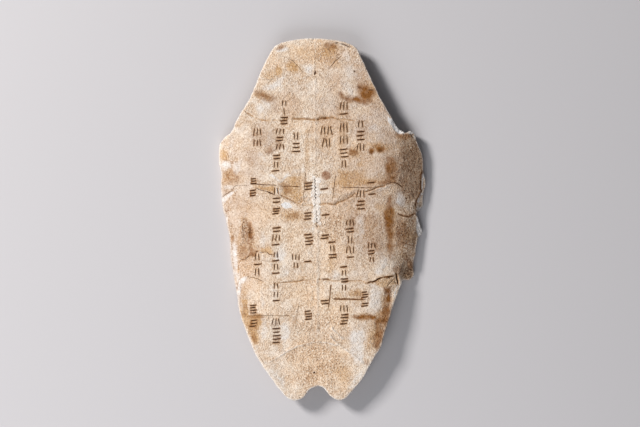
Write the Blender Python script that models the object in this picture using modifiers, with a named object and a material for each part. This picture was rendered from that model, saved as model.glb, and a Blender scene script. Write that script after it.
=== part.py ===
"""Turtle plastron oracle bone, lying with its inscribed outer face up.

Sizes are in millimetres, and become metres where a mesh is made. +X is the right-hand side of the face, +Y is the
head end and +Z is up. The origin is on the table, under the middle of the plastron's box.
"""

import math
import random

import bmesh
import bpy
from mathutils import Matrix, Vector
from mathutils.geometry import delaunay_2d_cdt

MM = 0.001

# Driving sizes
LENGTH = 200.0
WIDTH = 115.0
HEIGHT = 11.5  # crown of the face above the table
MIDLINE = -2.6  # the median seam lies a little left of the middle of the wings

# Thickness of the bone
PLATE_THICKNESS = 5.0
WING_THICKENING = 1.2
END_THINNING = 1.4

# How the face falls away from its crown
WING_DROP = 8.0
LOBE_DROP = 3.0
BEND_START = 26.0  # the face is flat across up to here
HEAD_DROP = 3.0
TAIL_DROP = 2.5
END_START = 50.0  # and along up to here

# The rim, from the tail notch round to the notch of the head end
LEFT_RIM = (
    (-2.6, -92.2), (-5.6, -93.4), (-7.8, -95.2), (-10.2, -98.4), (-14.0, -100.0), (-17.6, -99.6),
    (-21.0, -97.0), (-28.5, -87.5),
    (-36.0, -76.0), (-41.4, -63.7), (-45.3, -52.7), (-47.4, -41.0), (-49.2, -32.5), (-50.8, -22.0),
    (-51.5, -10.0), (-54.0, 0.5), (-55.7, 9.0), (-56.2, 19.0), (-56.0, 24.0), (-57.4, 32.0),
    (-57.0, 41.0), (-54.2, 45.0), (-50.3, 48.3), (-46.2, 56.5), (-39.6, 67.3), (-34.2, 80.5),
    (-28.6, 91.8), (-24.0, 96.6), (-13.0, 99.4),
)
RIGHT_RIM = (
    (0.4, -93.0), (2.4, -95.2), (4.8, -98.0), (9.2, -100.0), (13.2, -98.5), (16.6, -94.9),
    (22.6, -87.5), (26.7, -80.2),
    (29.9, -75.0), (32.9, -69.8), (34.5, -63.3), (38.3, -51.5), (41.2, -43.0), (43.7, -36.8),
    (44.8, -34.3), (48.6, -34.3), (51.2, -31.0), (50.9, -25.0), (52.3, -18.6), (53.4, -11.2),
    (56.0, -8.2), (55.0, -3.8), (53.0, 2.8), (56.0, 7.2), (56.4, 14.0), (57.7, 19.6),
    (56.3, 26.6), (55.9, 34.0), (53.2, 41.4), (52.3, 45.2), (49.4, 48.5), (46.6, 47.5),
    (44.8, 48.2), (42.0, 50.3), (38.0, 56.5), (32.7, 65.8), (27.6, 76.2), (22.2, 88.0),
    (18.5, 94.8), (9.6, 98.6), (-2.6, 99.8),
)
RIM_STEP = 4.0
RIM_BEVEL = 0.9
LATTICE_STEP = 5.2
SNUG = 0.55  # a lattice point stays this share of a step away from the rim

# Seams between the horny scutes, as (distance from the midline, y), the same on both sides
SEAMS = {
    "gular": ((0, 79), (6.5, 83.5), (13, 87.5), (26, 92)),
    "humeral": ((0, 55.5), (10, 56), (18, 55), (26, 53.6), (35, 56.5), (50, 57)),
    "pectoral": ((0, 8), (9, 8.4), (18, 11.6), (28, 15), (36, 18.5), (43, 19), (50, 14), (62, 8)),
    "abdominal": ((0, -34), (14, -35.4), (28, -35.2), (36, -32), (44, -28.5), (58, -26)),
    "femoral": ((0, -67), (8, -68.6), (16, -72), (24, -76.5), (36, -83)),
}
SEAM_RADIUS = 0.9
SEAM_DEPTH = 0.4
SEAM_STEP = 5.0

# Divination cracks: (x and y of the fork, length of the upright crack, length and side of the branch)
CRACKS = (
    (-9.2, 18.0, 21.0, -27.0),
    (7.2, 17.4, 16.0, 23.5),
    (-13.4, -53.6, 17.0, -25.2),
    (4.4, -44.2, 16.5, 19.5),
)
CRACK_RADIUS = 0.35
CRACK_DEPTH = 0.4
CRACK_GAP = 1.8  # the branch starts this far from the upright crack
CRACK_LEAN = 0.06

# Inscription: each column's x, then (y of a mark, its rows from the top, how much taller than usual they are).
# A row is u for upright strokes side by side or l for level strokes one under another, and how many.
INSCRIPTION = (
    (-37.6, ((21.1, "l3", 1), (14.2, "l3", 1), (-50.0, "l4", 1), (-58.0, "l3", 1))),
    (-35.7, ((45.3, "u3 u3", 1.3), (-25.2, "u2 l1 u2", 1.25))),
    (-25.2, ((31.0, "l2 u2 l1", 1), (13.2, "u2 l2", 1.2), (4.3, "l3", 1), (-9.7, "l2 u3 l1", 1.1),
             (-24.3, "u2 l1 u2 l1", 1), (-40.6, "u2 u2 l1", 1), (-62.0, "u3 l5", 1.15))),
    (-23.0, ((44.4, "u3 l2 u3", 1),)),
    (-20.8, ((59.4, "u2 u1 l3", 1),)),
    (-14.2, ((42.7, "u2 l3", 1.3), (-24.6, "u3 u2", 1.2))),
    (-7.4, ((18.2, "l3", 1.2), (1.6, "l3", 1.15), (-11.4, "l4", 1.3), (-23.6, "l1", 1), (-53.4, "l4", 1))),
    (1.8, ((16.7, "l1", 1), (2.2, "l1", 1), (-9.9, "l2", 1), (-46.1, "l2", 1))),
    (2.8, ((45.7, "u4 u3", 1.5),)),
    (6.0, ((-17.2, "l1 u2 l2", 1),)),
    (12.5, ((61.6, "u3 l1", 1.35), (47.5, "u3 u3", 1.5), (33.8, "l3 u2", 1.2), (-33.0, "l1 u2 l2 u2", 0.95),
            (-52.8, "u3 l4", 1.2))),
    (16.0, ((-4.0, "u3 l2", 1), (-15.6, "u2 u3 l1", 1.2))),
    (21.8, ((46.3, "u2 l3 u3", 1.3), (10.6, "u3 l3", 1.25))),
    (24.2, ((-42.2, "l3", 1), (-48.4, "l2", 1))),
    (28.0, ((20.1, "l1", 1), (13.8, "l1", 1), (-18.6, "u3 l2 u2", 0.9))),
)
UPRIGHT_LENGTH = 4.2
UPRIGHT_PITCH = 1.8
LEVEL_LENGTH = 4.4
LEVEL_PITCH = 1.6
ROW_GAP = 0.5
STROKE_WIDTH = 0.8
STROKE_DEPTH = 0.4
STROKE_CLEAR = 0.25  # how far a cutter stands above the face
STROKE_TAPER = 0.35  # width at the bottom of a stroke, as a share of its cutter's top
STROKE_LEAN = math.radians(8)

# Old damage to the face: (x, y, half width, half length, depth)
CHIPS = {
    "head pit": (-2.8, 82.2, 1.7, 3.0, 0.7),
    "head rim notch": (-3.0, 100.0, 1.0, 1.8, 1.6),
    "tail pinhole": (-2.2, -87.6, 0.8, 0.8, 0.8),
    "left wing chip": (-53.6, 0.2, 1.6, 2.8, 0.9),
    "right wing break": (56.0, 3.5, 2.6, 8.0, 1.8),
    "right corner break": (48.0, -30.5, 4.2, 5.0, 1.4),
    "right corner slit": (40.6, -33.0, 0.8, 3.4, 2.6),
}
CHIP_REACH = 3.0  # half height of a chip's cutter, as a share of its depth
CHIP_SEGMENTS = 10

# Hollows gouged in the back before firing, one pair behind each crack
GOUGE_SIZE = (3.4, 8.5, 2.4)  # half width, half length, depth
DRILL_SIZE = (4.6, 4.6, 2.2)
DRILL_OFFSET = 7.0
HOLLOW_REACH = 2.0  # half height of a hollow's cutter, as a share of its depth
HOLLOW_SEGMENTS = 16

BONE_COLOUR = (0.68, 0.52, 0.37, 1.0)
BONE_ROUGHNESS = 0.6


def smooth(t):
    """0 below 0, 1 above 1, and an S-curve between."""
    t = min(max(t, 0.0), 1.0)
    return t * t * (3 - 2 * t)


def face_height(x, y):
    """Height of the inscribed face: flat at the crown, bent down at the wings and at both ends."""
    wing = smooth((y + 52) / 20) * smooth((60 - y) / 18)
    reach = 54.5 + 0.115 * y  # half width of the wings, which narrow towards the tail
    across = x - MIDLINE * (1 - wing)
    bend = max(0.0, (abs(across) - BEND_START) / (reach - BEND_START))
    side_drop = (LOBE_DROP + (WING_DROP - LOBE_DROP) * wing) * min(bend, 1.3) ** 2
    end_drop = HEAD_DROP if y > 0 else TAIL_DROP
    past_end = max(0.0, (abs(y) - END_START) / (LENGTH / 2 - END_START))
    return HEIGHT - side_drop - end_drop * past_end**2


def back_height(x, y):
    """Height of the back, before its lowest parts are worn flat on the table."""
    thickening = WING_THICKENING * smooth((abs(x) - 38) / 14)
    thinning = END_THINNING * smooth((abs(y) - 62) / 34)
    return face_height(x, y) - PLATE_THICKNESS - thickening + thinning


def face_normal(x, y):
    step = 0.5
    slope_x = (face_height(x + step, y) - face_height(x - step, y)) / (2 * step)
    slope_y = (face_height(x, y + step) - face_height(x, y - step)) / (2 * step)
    return Vector((-slope_x, -slope_y, 1)).normalized()


def curve_through(points, step):
    """Points about a step apart on a Catmull-Rom curve through the given ones."""
    ends = [points[0], *points, points[-1]]
    curve = []
    for before, a, b, after in zip(ends, ends[1:], ends[2:], ends[3:]):
        before, a, b, after = (Vector(p) for p in (before, a, b, after))
        count = max(1, round((b - a).length / step))
        for i in range(count):
            t = i / count
            curve.append(
                0.5 * (2 * a + (b - before) * t + (2 * before - 5 * a + 4 * b - after) * t**2
                       + (3 * a - before - 3 * b + after) * t**3)
            )
    curve.append(Vector(points[-1]))
    return curve


def rim_outline():
    """The closed rim, anticlockwise from the tail notch, fitted to the driving length and width."""
    right = curve_through((LEFT_RIM[0], *RIGHT_RIM), RIM_STEP)
    left = curve_through((*LEFT_RIM, RIGHT_RIM[-1]), RIM_STEP)
    loop = right + left[-2:0:-1]
    low = Vector((min(p.x for p in loop), min(p.y for p in loop)))
    high = Vector((max(p.x for p in loop), max(p.y for p in loop)))
    middle = (low + high) / 2
    return [
        Vector(((p.x - middle.x) * WIDTH / (high.x - low.x), (p.y - middle.y) * LENGTH / (high.y - low.y)))
        for p in loop
    ]


def inside(point, loop):
    """True if the point is inside the loop, counting the edges that a level ray crosses."""
    crossed = False
    for a, b in zip(loop, loop[1:] + loop[:1]):
        if (a.y > point.y) != (b.y > point.y):
            crossed ^= point.x < a.x + (point.y - a.y) * (b.x - a.x) / (b.y - a.y)
    return crossed


def plan_triangles(rim):
    """The plan filled with near-equal triangles: the rim, and a hexagonal lattice inside it."""
    points = list(rim)
    row_step = LATTICE_STEP * math.sqrt(3) / 2
    rows = int(LENGTH / 2 / row_step) + 1
    columns = int(WIDTH / 2 / LATTICE_STEP) + 1
    for row in range(-rows, rows + 1):
        for column in range(-columns, columns + 1):
            spot = Vector(((column + 0.5 * (row % 2)) * LATTICE_STEP, row * row_step))
            nearest = min((spot - p).length for p in rim)
            if nearest > SNUG * LATTICE_STEP and inside(spot, rim):
                points.append(spot)
    plan = delaunay_2d_cdt(points, [], [list(range(len(rim)))], 1, 1e-4)
    return plan[0], plan[2]


def new_object(name, mesh, collection):
    made = bpy.data.objects.new(name, mesh)
    collection.objects.link(made)
    return made


def mesh_from(bm, name):
    bmesh.ops.recalc_face_normals(bm, faces=bm.faces)
    mesh = bpy.data.meshes.new(name)
    bm.to_mesh(mesh)
    bm.free()
    return mesh


def make_plate(collection):
    """The plain bone plate: the plan pulled up into a slab, whose two sides then take their heights."""
    points, triangles = plan_triangles(rim_outline())
    bm = bmesh.new()
    verts = [bm.verts.new((p.x * MM, p.y * MM, 0)) for p in points]
    for corners in triangles:
        bm.faces.new([verts[i] for i in corners])
    pulled = bmesh.ops.extrude_face_region(bm, geom=bm.faces[:])
    upper = {v for v in pulled["geom"] if isinstance(v, bmesh.types.BMVert)}
    for v in bm.verts:
        height = face_height if v in upper else back_height
        v.co.z = height(v.co.x / MM, v.co.y / MM) * MM
    plate = new_object("plastron", mesh_from(bm, "plastron"), collection)
    rounding = plate.modifiers.new("Rounded rim", "BEVEL")
    rounding.width = RIM_BEVEL * MM
    rounding.segments = 2
    rounding.limit_method = "ANGLE"
    rounding.angle_limit = math.radians(50)
    return plate


def cut(plate, cutter, crossing=False):
    """Takes the cutter away from the plate. Crossing is for a cutter whose own parts run through each other."""
    cutter.hide_render = True
    cutter.display_type = "WIRE"
    boolean = plate.modifiers.new(cutter.name, "BOOLEAN")
    boolean.object = cutter
    boolean.use_self = crossing


def make_table(collection):
    """A block whose top is the table, for the flats that the wings rest on."""
    depth = 20
    bm = bmesh.new()
    bmesh.ops.create_cube(bm, size=1, matrix=Matrix.Diagonal((1.5 * WIDTH * MM, 1.5 * LENGTH * MM, depth * MM, 1)))
    bmesh.ops.translate(bm, verts=bm.verts, vec=(0, 0, -depth / 2 * MM))
    return new_object("table", mesh_from(bm, "table"), collection)


def make_groove(name, route, radius, depth, collection):
    """A round cutter that runs along the face, a set depth below it."""
    curve = bpy.data.curves.new(name, "CURVE")
    curve.dimensions = "3D"
    curve.bevel_depth = radius * MM
    curve.bevel_resolution = 1
    curve.use_fill_caps = True
    spline = curve.splines.new("POLY")
    spline.points.add(len(route) - 1)
    for point, (x, y) in zip(spline.points, route):
        point.co = (x * MM, y * MM, (face_height(x, y) + radius - depth) * MM, 1)
    guide = new_object(name + " guide", curve, collection)
    graph = bpy.context.evaluated_depsgraph_get()
    mesh = bpy.data.meshes.new_from_object(guide.evaluated_get(graph))
    bpy.data.objects.remove(guide)
    bm = bmesh.new()
    bm.from_mesh(mesh)
    bpy.data.meshes.remove(mesh)
    bmesh.ops.remove_doubles(bm, verts=bm.verts, dist=0.01 * MM)
    return new_object(name, mesh_from(bm, name), collection)


def seam_route(half):
    """A seam from one side of the plate to the other, through the midline."""
    left = [(MIDLINE - away, y) for away, y in reversed(half)]
    right = [(MIDLINE + away, y) for away, y in half[1:]]
    return curve_through(left + right, SEAM_STEP)


def cut_seams(plate, collection):
    median = [(MIDLINE, y) for y in range(-96, 105, 8)]
    cut(plate, make_groove("median seam", median, SEAM_RADIUS, SEAM_DEPTH, collection))
    for name, half in SEAMS.items():
        cut(plate, make_groove(name + " seam", seam_route(half), SEAM_RADIUS, SEAM_DEPTH, collection))


def cut_cracks(plate, collection):
    """Each divination crack: an upright, and a branch that leaves it at the fork."""
    for number, (x, y, length, branch) in enumerate(CRACKS, 1):
        lean = CRACK_LEAN * length / 2
        upright = [(x + lean, y + length / 2), (x, y), (x - lean, y - length / 2)]
        start = math.copysign(CRACK_GAP, branch)
        side = [(x + start + (branch - start) * t, y + 0.8 * t * t) for t in (0, 0.5, 1)]
        for kind, route in (("upright", upright), ("branch", side)):
            name = f"crack {number} {kind}"
            cut(plate, make_groove(name, route, CRACK_RADIUS, CRACK_DEPTH, collection))


def row_sizes(row):
    """(kind, count, height) of one row of a mark, such as u3 or l2."""
    kind, count = row[0], int(row[1:])
    height = UPRIGHT_LENGTH if kind == "u" else LEVEL_PITCH * count
    return kind, count, height


def strokes_of(x, y, rows, stretch, luck):
    """(x, y, length, angle) of each stroke of one mark, from its rows and how much taller they are."""
    sizes = [(kind, count, height * stretch) for kind, count, height in map(row_sizes, rows.split())]
    top = y + (sum(size[2] for size in sizes) + ROW_GAP * (len(sizes) - 1)) / 2
    for kind, count, height in sizes:
        for i in range(count):
            across = i - (count - 1) / 2
            lean = luck.uniform(-STROKE_LEAN, STROKE_LEAN)
            trim = luck.uniform(0.85, 1.05)
            if kind == "u":
                splay = 0.08 * across
                yield x + across * UPRIGHT_PITCH, top - height / 2, height * trim, math.pi / 2 + lean + splay
            else:
                yield x + lean * 3, top - (i + 0.5) * height / count, LEVEL_LENGTH * trim, abs(lean)
        top -= height + ROW_GAP


def make_strokes(collection):
    """One lozenge-shaped wedge for each stroke of the inscription, all in one cutter."""
    luck = random.Random(7)
    bm = bmesh.new()
    for x, marks in INSCRIPTION:
        for y, rows, stretch in marks:
            for sx, sy, length, angle in strokes_of(x, y, rows, stretch, luck):
                normal = face_normal(sx, sy)
                along = Vector((math.cos(angle), math.sin(angle), 0))
                along = (along - normal * along.dot(normal)).normalized()
                turn = Matrix((along, normal.cross(along), normal)).transposed().to_4x4()
                middle = Vector((sx, sy, face_height(sx, sy))) + normal * (STROKE_CLEAR - STROKE_DEPTH) / 2
                size = Matrix.Diagonal((length / 2 * MM, STROKE_WIDTH / 2 * MM, 1, 1))
                bmesh.ops.create_cone(
                    bm,
                    cap_ends=True,
                    segments=4,
                    radius1=STROKE_TAPER,
                    radius2=1,
                    depth=(STROKE_CLEAR + STROKE_DEPTH) * MM,
                    matrix=Matrix.Translation(middle * MM) @ turn @ size,
                )
    return new_object("strokes", mesh_from(bm, "strokes"), collection)


def make_egg(name, centre, size, segments, collection):
    """An egg-shaped cutter, with its half sizes along X, Y and Z."""
    bm = bmesh.new()
    place = Matrix.Translation(Vector(centre) * MM) @ Matrix.Diagonal((*(Vector(size) * MM), 1))
    bmesh.ops.create_uvsphere(bm, u_segments=segments, v_segments=segments // 2 + 2, radius=1, matrix=place)
    return new_object(name, mesh_from(bm, name), collection)


def mouth_scale(reach, depth):
    """How much wider an egg is at its middle than at its mouth, when it dips by depth through a surface."""
    return 1 / math.sqrt(1 - (1 - depth / reach) ** 2)


def cut_chips(plate, collection):
    for name, (x, y, width, length, depth) in CHIPS.items():
        reach = CHIP_REACH * depth
        widen = mouth_scale(reach, depth)
        centre = (x, y, face_height(x, y) - depth + reach)
        cut(plate, make_egg(name, centre, (width * widen, length * widen, reach), CHIP_SEGMENTS, collection))


def make_hollow(name, x, y, size, collection):
    """A cutter that bites a hollow with the given half width, half length and depth into the back."""
    width, length, depth = size
    reach = HOLLOW_REACH * depth
    widen = mouth_scale(reach, depth)
    centre = (x, y, back_height(x, y) + depth - reach)
    return make_egg(name, centre, (width * widen, length * widen, reach), HOLLOW_SEGMENTS, collection)


def cut_hollows(plate, collection):
    """Behind each crack: a long gouge behind its upright, and a drilled hollow behind its branch."""
    for number, (x, y, _, branch) in enumerate(CRACKS, 1):
        drill_x = x + math.copysign(DRILL_OFFSET, branch)
        cut(plate, make_hollow(f"gouge {number}", x, y, GOUGE_SIZE, collection))
        cut(plate, make_hollow(f"drilled hollow {number}", drill_x, y, DRILL_SIZE, collection))


def bone_material():
    material = bpy.data.materials.new("aged bone")
    material.use_nodes = True
    shader = material.node_tree.nodes["Principled BSDF"]
    shader.inputs["Base Color"].default_value = BONE_COLOUR
    shader.inputs["Roughness"].default_value = BONE_ROUGHNESS
    shader.inputs["Metallic"].default_value = 0.0
    material.diffuse_color = BONE_COLOUR
    return material


def new_collection(name):
    made = bpy.data.collections.new(name)
    bpy.context.scene.collection.children.link(made)
    return made


def main():
    for obj in list(bpy.data.objects):
        bpy.data.objects.remove(obj)
    parts = new_collection("plastron oracle bone")
    cutters = new_collection("cutters")
    plate = make_plate(parts)
    plate.data.materials.append(bone_material())
    cut(plate, make_table(cutters))
    cut_hollows(plate, cutters)
    cut_chips(plate, cutters)
    cut_seams(plate, cutters)
    cut_cracks(plate, cutters)
    cut(plate, make_strokes(cutters), crossing=True)


main()
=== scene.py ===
import math
import random

import bpy
import numpy as np
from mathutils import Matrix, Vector
from mathutils.geometry import delaunay_2d_cdt


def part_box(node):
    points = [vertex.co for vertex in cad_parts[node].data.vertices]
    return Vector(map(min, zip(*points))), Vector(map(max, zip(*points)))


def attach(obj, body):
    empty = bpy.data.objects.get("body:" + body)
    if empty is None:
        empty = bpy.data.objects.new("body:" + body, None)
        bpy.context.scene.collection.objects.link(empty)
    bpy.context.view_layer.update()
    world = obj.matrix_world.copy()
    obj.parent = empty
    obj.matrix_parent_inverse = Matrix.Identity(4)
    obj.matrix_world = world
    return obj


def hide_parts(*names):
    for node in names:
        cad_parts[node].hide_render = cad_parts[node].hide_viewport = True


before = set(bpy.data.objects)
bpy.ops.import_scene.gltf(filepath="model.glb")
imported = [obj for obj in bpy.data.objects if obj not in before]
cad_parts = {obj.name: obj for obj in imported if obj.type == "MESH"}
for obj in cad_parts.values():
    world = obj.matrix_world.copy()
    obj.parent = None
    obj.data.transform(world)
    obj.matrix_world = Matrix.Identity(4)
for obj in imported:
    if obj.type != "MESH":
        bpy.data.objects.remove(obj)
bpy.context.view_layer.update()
lowCorner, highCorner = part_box("plastron")
mm = 0.001

# Everything about the bone is in millimetres until its mesh is made: x to the right of the inscribed face,
# y towards the head end, z up out of the face.
plate = {
    "width": (highCorner.x - lowCorner.x) / mm,
    "length": (highCorner.y - lowCorner.y) / mm,
    "crown": (highCorner.z - lowCorner.z) / mm,
    "midline": -2.6,
    "reach": 54.5, "reachGrowth": 0.115,  # from the midline to the edge, and its growth towards the head end
    "thickness": 5.0,
    "wingThickening": 1.2, "thickenFrom": 38, "thickenOver": 14,
    "endThinning": 1.4, "thinFrom": 62, "thinOver": 34,
    "wingDrop": 8.0, "lobeDrop": 3.0, "bendStart": 26.0, "bendLimit": 1.3,
    "wingFrom": -52, "wingRise": 20, "wingTo": 60, "wingFall": 18,  # where along the bone the wings are
    "headDrop": 3.0, "tailDrop": 2.5, "endStart": 50.0,
}
net = {
    "faceStep": 0.6,  # spacing of the points on the face
    "backStep": 1.0,
    "nudge": 0.125,  # how far a point may be off its place, as a share of the spacing
    "clearance": 0.75,  # how far the points keep from a crisp line, as a share of the spacing
    "sharpAngle": 38,  # in degrees
}
rim = {
    "step": 0.5,
    "levels": 9,
    "round": 0.9,  # how far the rounding reaches in from the edge
    "squareness": 2.6,
    "nibble": 0.16, "brokenNibble": 0.55, "brokenLoss": 0.25, "notch": 0.5,
    "bump": 0.12, "brokenBump": 0.4, "pore": 0.6,
    "slant": 0.7,  # how far the bumps lean over from the face to the back
    "bare": 0.4, "dirt": 0.7,
    "pale": 1.0, "paleFade": 1.6, "white": 0.8, "whiteFade": 2.2,  # pale bone and painted highlight at the top of the rim, and the fading downwards
}

# The rim, from the tail notch round to the head end
leftRim = (
    (-2.6, -92.2), (-5.6, -93.4), (-7.8, -95.2), (-10.2, -98.4), (-14, -100), (-17.6, -99.6), (-21, -97),
    (-28.5, -87.5), (-36, -76), (-41.4, -63.7), (-45.3, -52.7), (-47.4, -41), (-49.2, -32.5), (-50.8, -22),
    (-51.5, -10), (-54, 0.5), (-55.7, 9), (-56.2, 19), (-56, 24), (-57.4, 32), (-57, 41), (-54.2, 45),
    (-50.3, 48.3), (-46.2, 56.5), (-39.6, 67.3), (-34.2, 80.5), (-28.6, 91.8), (-24, 96.6), (-13, 99.4),
)
rightRim = (
    (0.4, -93), (2.4, -95.2), (4.8, -98), (9.2, -100), (13.2, -98.5), (16.6, -94.9), (22.6, -87.5),
    (26.7, -80.2), (29.9, -75), (32.9, -69.8), (34.5, -63.3), (38.3, -51.5), (41.2, -43), (43.7, -36.8),
    (44.8, -34.3), (48.6, -34.3), (51.2, -31), (50.9, -25), (52.3, -18.6), (53.4, -11.2), (56, -8.2),
    (55, -3.8), (53, 2.8), (56, 7.2), (56.4, 14), (57.7, 19.6), (56.3, 26.6), (55.9, 34), (53.2, 41.4),
    (52.3, 45.2), (49.4, 48.5), (46.6, 47.5), (44.8, 48.2), (42, 50.3), (38, 56.5), (32.7, 65.8),
    (27.6, 76.2), (22.2, 88), (18.5, 94.8), (9.6, 98.6), (-2.6, 99.8),
)


def smoothStep(t):
    # 0 below 0, 1 above 1, and 3tt - 2ttt between
    t = np.clip(t, 0.0, 1.0)
    return t * t * (3 - 2 * t)


# --- even noise, the same on every run ---
def cellValue(column, row, seed):
    # scrambles a cell's column, row and seed into one number from 0 to 1
    mixed = (column * 374761393 + row * 668265263 + seed * 224682251) & 0xFFFFFFFF
    mixed = ((mixed ^ (mixed >> 13)) * 1274126177) & 0xFFFFFFFF
    return ((mixed ^ (mixed >> 16)) & 0xFFFF) / 0xFFFF


def swell(x, y, size, seed):
    # -1 to 1: the values at a cell's four corners, blended across the cell by the S-curve
    u, v = x / size, y / size
    column, row = np.floor(u).astype(np.int64), np.floor(v).astype(np.int64)
    s, t = smoothStep(u - column), smoothStep(v - row)
    near = cellValue(column, row, seed) * (1 - s) + cellValue(column + 1, row, seed) * s
    far = cellValue(column, row + 1, seed) * (1 - s) + cellValue(column + 1, row + 1, seed) * s
    return 2 * (near * (1 - t) + far * t) - 1


def cloud(x, y, size, seed, layers=3):
    # swells of half the size and half the strength added on top of each other, each turned by 37 degrees
    total, strength = 0.0, 1.0
    for layer in range(layers):
        total = total + strength * swell(x, y, size, seed + 17 * layer)
        x, y = 0.8 * x - 0.6 * y, 0.6 * x + 0.8 * y
        size, strength = size / 2, strength / 2
    return total / 1.6


def pores(x, y, size, seed):
    # 1 at the middle of each scattered pore and 0 half a cell away: the nearest of the 9 cells' own points
    u, v = x / size, y / size
    column, row = np.floor(u).astype(np.int64), np.floor(v).astype(np.int64)
    nearest = np.full(np.shape(u), 9.0)
    for across in (-1, 0, 1):
        for up in (-1, 0, 1):
            c, r = column + across, row + up
            away = np.hypot(c + cellValue(c, r, seed) - u, r + cellValue(c, r, seed + 5) - v)
            nearest = np.minimum(nearest, away)
    return np.clip(1 - 2 * nearest, 0, 1)


def wandered(x, y, reach, size, seed, otherSeed):
    # each point pushed along and across by noise
    return x + reach * cloud(x, y, size, seed), y + reach * cloud(x, y, size, otherSeed)


# --- places, paths and ovals ---
def turned(x, y, degrees):
    # the points' places along axes turned anticlockwise
    c, s = math.cos(math.radians(degrees)), math.sin(math.radians(degrees))
    return x * c + y * s, y * c - x * s


def ovalAway(x, y, cx, cy, halfWidth, halfLength, turn=0):
    # distance from the middle of a turned oval, 1 on its rim
    u, v = turned(x - cx, y - cy, turn)
    return np.hypot(u / halfWidth, v / halfLength)


def nearTo(x, y, corners, margin):
    # which points lie within the margin of the box around the corners
    low, high = np.min(corners, 0) - margin, np.max(corners, 0) + margin
    return np.flatnonzero((x > low[0]) & (x < high[0]) & (y > low[1]) & (y < high[1]))


def curveThrough(points, step):
    # Catmull-Rom: from a to b runs the cubic whose ends lean along the line between the points beside them
    points = np.array(points, float)
    ends = np.vstack([points[:1], points, points[-1:]])
    curve = []
    for before, a, b, after in zip(ends, ends[1:], ends[2:], ends[3:]):
        count = max(1, round(float(np.hypot(*(b - a))) / step))
        t = (np.arange(count) / count)[:, None]
        lean = 2 * before - 5 * a + 4 * b - after
        cubic = 2 * a + (b - before) * t + lean * t**2 + (3 * a - before - 3 * b + after) * t**3
        curve.append(0.5 * cubic)
    return np.vstack([*curve, points[-1:]])


def lengthAlong(path):
    # how far along the path each of its points is
    return np.concatenate([[0], np.cumsum(np.hypot(*np.diff(path, axis=0).T))])


def directionAlong(path):
    # an arrow one long at each point of the path
    run = np.gradient(path, axis=0)
    return run / np.hypot(run[:, 0], run[:, 1])[:, None]


def awayFromPath(x, y, path, *alongPath):
    # distance from each point to the nearest place on the path, and the path's own values at that place
    best = np.full(len(x), 1e9)
    found = [np.zeros(len(x)) for _ in alongPath]
    for i in range(len(path) - 1):
        a, b = path[i], path[i + 1]
        run = b - a
        t = np.clip(((x - a[0]) * run[0] + (y - a[1]) * run[1]) / max(run @ run, 1e-9), 0, 1)
        away = np.hypot(x - a[0] - t * run[0], y - a[1] - t * run[1])
        closer = away < best
        best = np.where(closer, away, best)
        for k, values in enumerate(alongPath):
            found[k] = np.where(closer, values[i] + t * (values[i + 1] - values[i]), found[k])
    return best, found


def besidePath(x, y, path, *alongPath):
    # as above, and how far each point lies to the left of the path's direction there
    away, found = awayFromPath(x, y, path, *path.T, *directionAlong(path).T, *alongPath)
    px, py, rx, ry = found[:4]
    return away, (y - py) * rx - (x - px) * ry, found[4:]


def insideOf(x, y, corners):
    # millimetres to the nearest side of the patch, above 0 inside it: inside if a line to the right crosses
    # its sides an odd number of times
    closed = np.array([*corners, corners[0]])
    away, _ = awayFromPath(x, y, closed)
    crossings = np.zeros(len(x), int)
    for a, b in zip(closed, closed[1:]):
        spans = (a[1] > y) != (b[1] > y)
        crossings += spans & (x < a[0] + (y - a[1]) * (b[0] - a[0]) / (b[1] - a[1] if b[1] != a[1] else 1.0))
    return np.where(crossings % 2 == 1, away, -away)


def ring(cx, cy, halfWidth, halfLength, turn, count):
    # a turned oval as a closed line
    a = np.linspace(0, 2 * math.pi, count)
    u, v = turned(halfWidth * np.cos(a), halfLength * np.sin(a), -turn)
    points = np.column_stack([cx + u, cy + v])
    points[-1] = points[0]
    return points


# --- the plain plate ---
def faceHeight(x, y):
    # flat at the crown; beyond the bend it falls by the square of the way out, more at the wings than at the
    # lobes, and by the square of the way past the end start towards head and tail
    wing = smoothStep((y - plate["wingFrom"]) / plate["wingRise"])
    wing = wing * smoothStep((plate["wingTo"] - y) / plate["wingFall"])
    reach = plate["reach"] + plate["reachGrowth"] * y
    across = x - plate["midline"] * (1 - wing)
    bend = np.maximum(0.0, (np.abs(across) - plate["bendStart"]) / (reach - plate["bendStart"]))
    sideDrop = plate["lobeDrop"] + (plate["wingDrop"] - plate["lobeDrop"]) * wing
    endDrop = np.where(y > 0, plate["headDrop"], plate["tailDrop"])
    pastEnd = np.maximum(0.0, (np.abs(y) - plate["endStart"]) / (plate["length"] / 2 - plate["endStart"]))
    return plate["crown"] - sideDrop * np.minimum(bend, plate["bendLimit"]) ** 2 - endDrop * pastEnd**2


def backHeight(x, y):
    # the face lowered by the thickness, which grows under the wings and thins at head and tail
    wing = smoothStep((np.abs(x) - plate["thickenFrom"]) / plate["thickenOver"])
    end = smoothStep((np.abs(y) - plate["thinFrom"]) / plate["thinOver"])
    lowered = faceHeight(x, y) - plate["thickness"] - plate["wingThickening"] * wing
    return lowered + plate["endThinning"] * end


def rimOutline():
    # the two sides as one closed anticlockwise loop, stretched to the plate's length and width
    right = curveThrough((leftRim[0], *rightRim), rim["step"])
    left = curveThrough((*leftRim, rightRim[-1]), rim["step"])
    loop = np.vstack([right, left[-2:0:-1]])
    low, high = loop.min(0), loop.max(0)
    return (loop - (low + high) / 2) * (plate["width"], plate["length"]) / (high - low)


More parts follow.
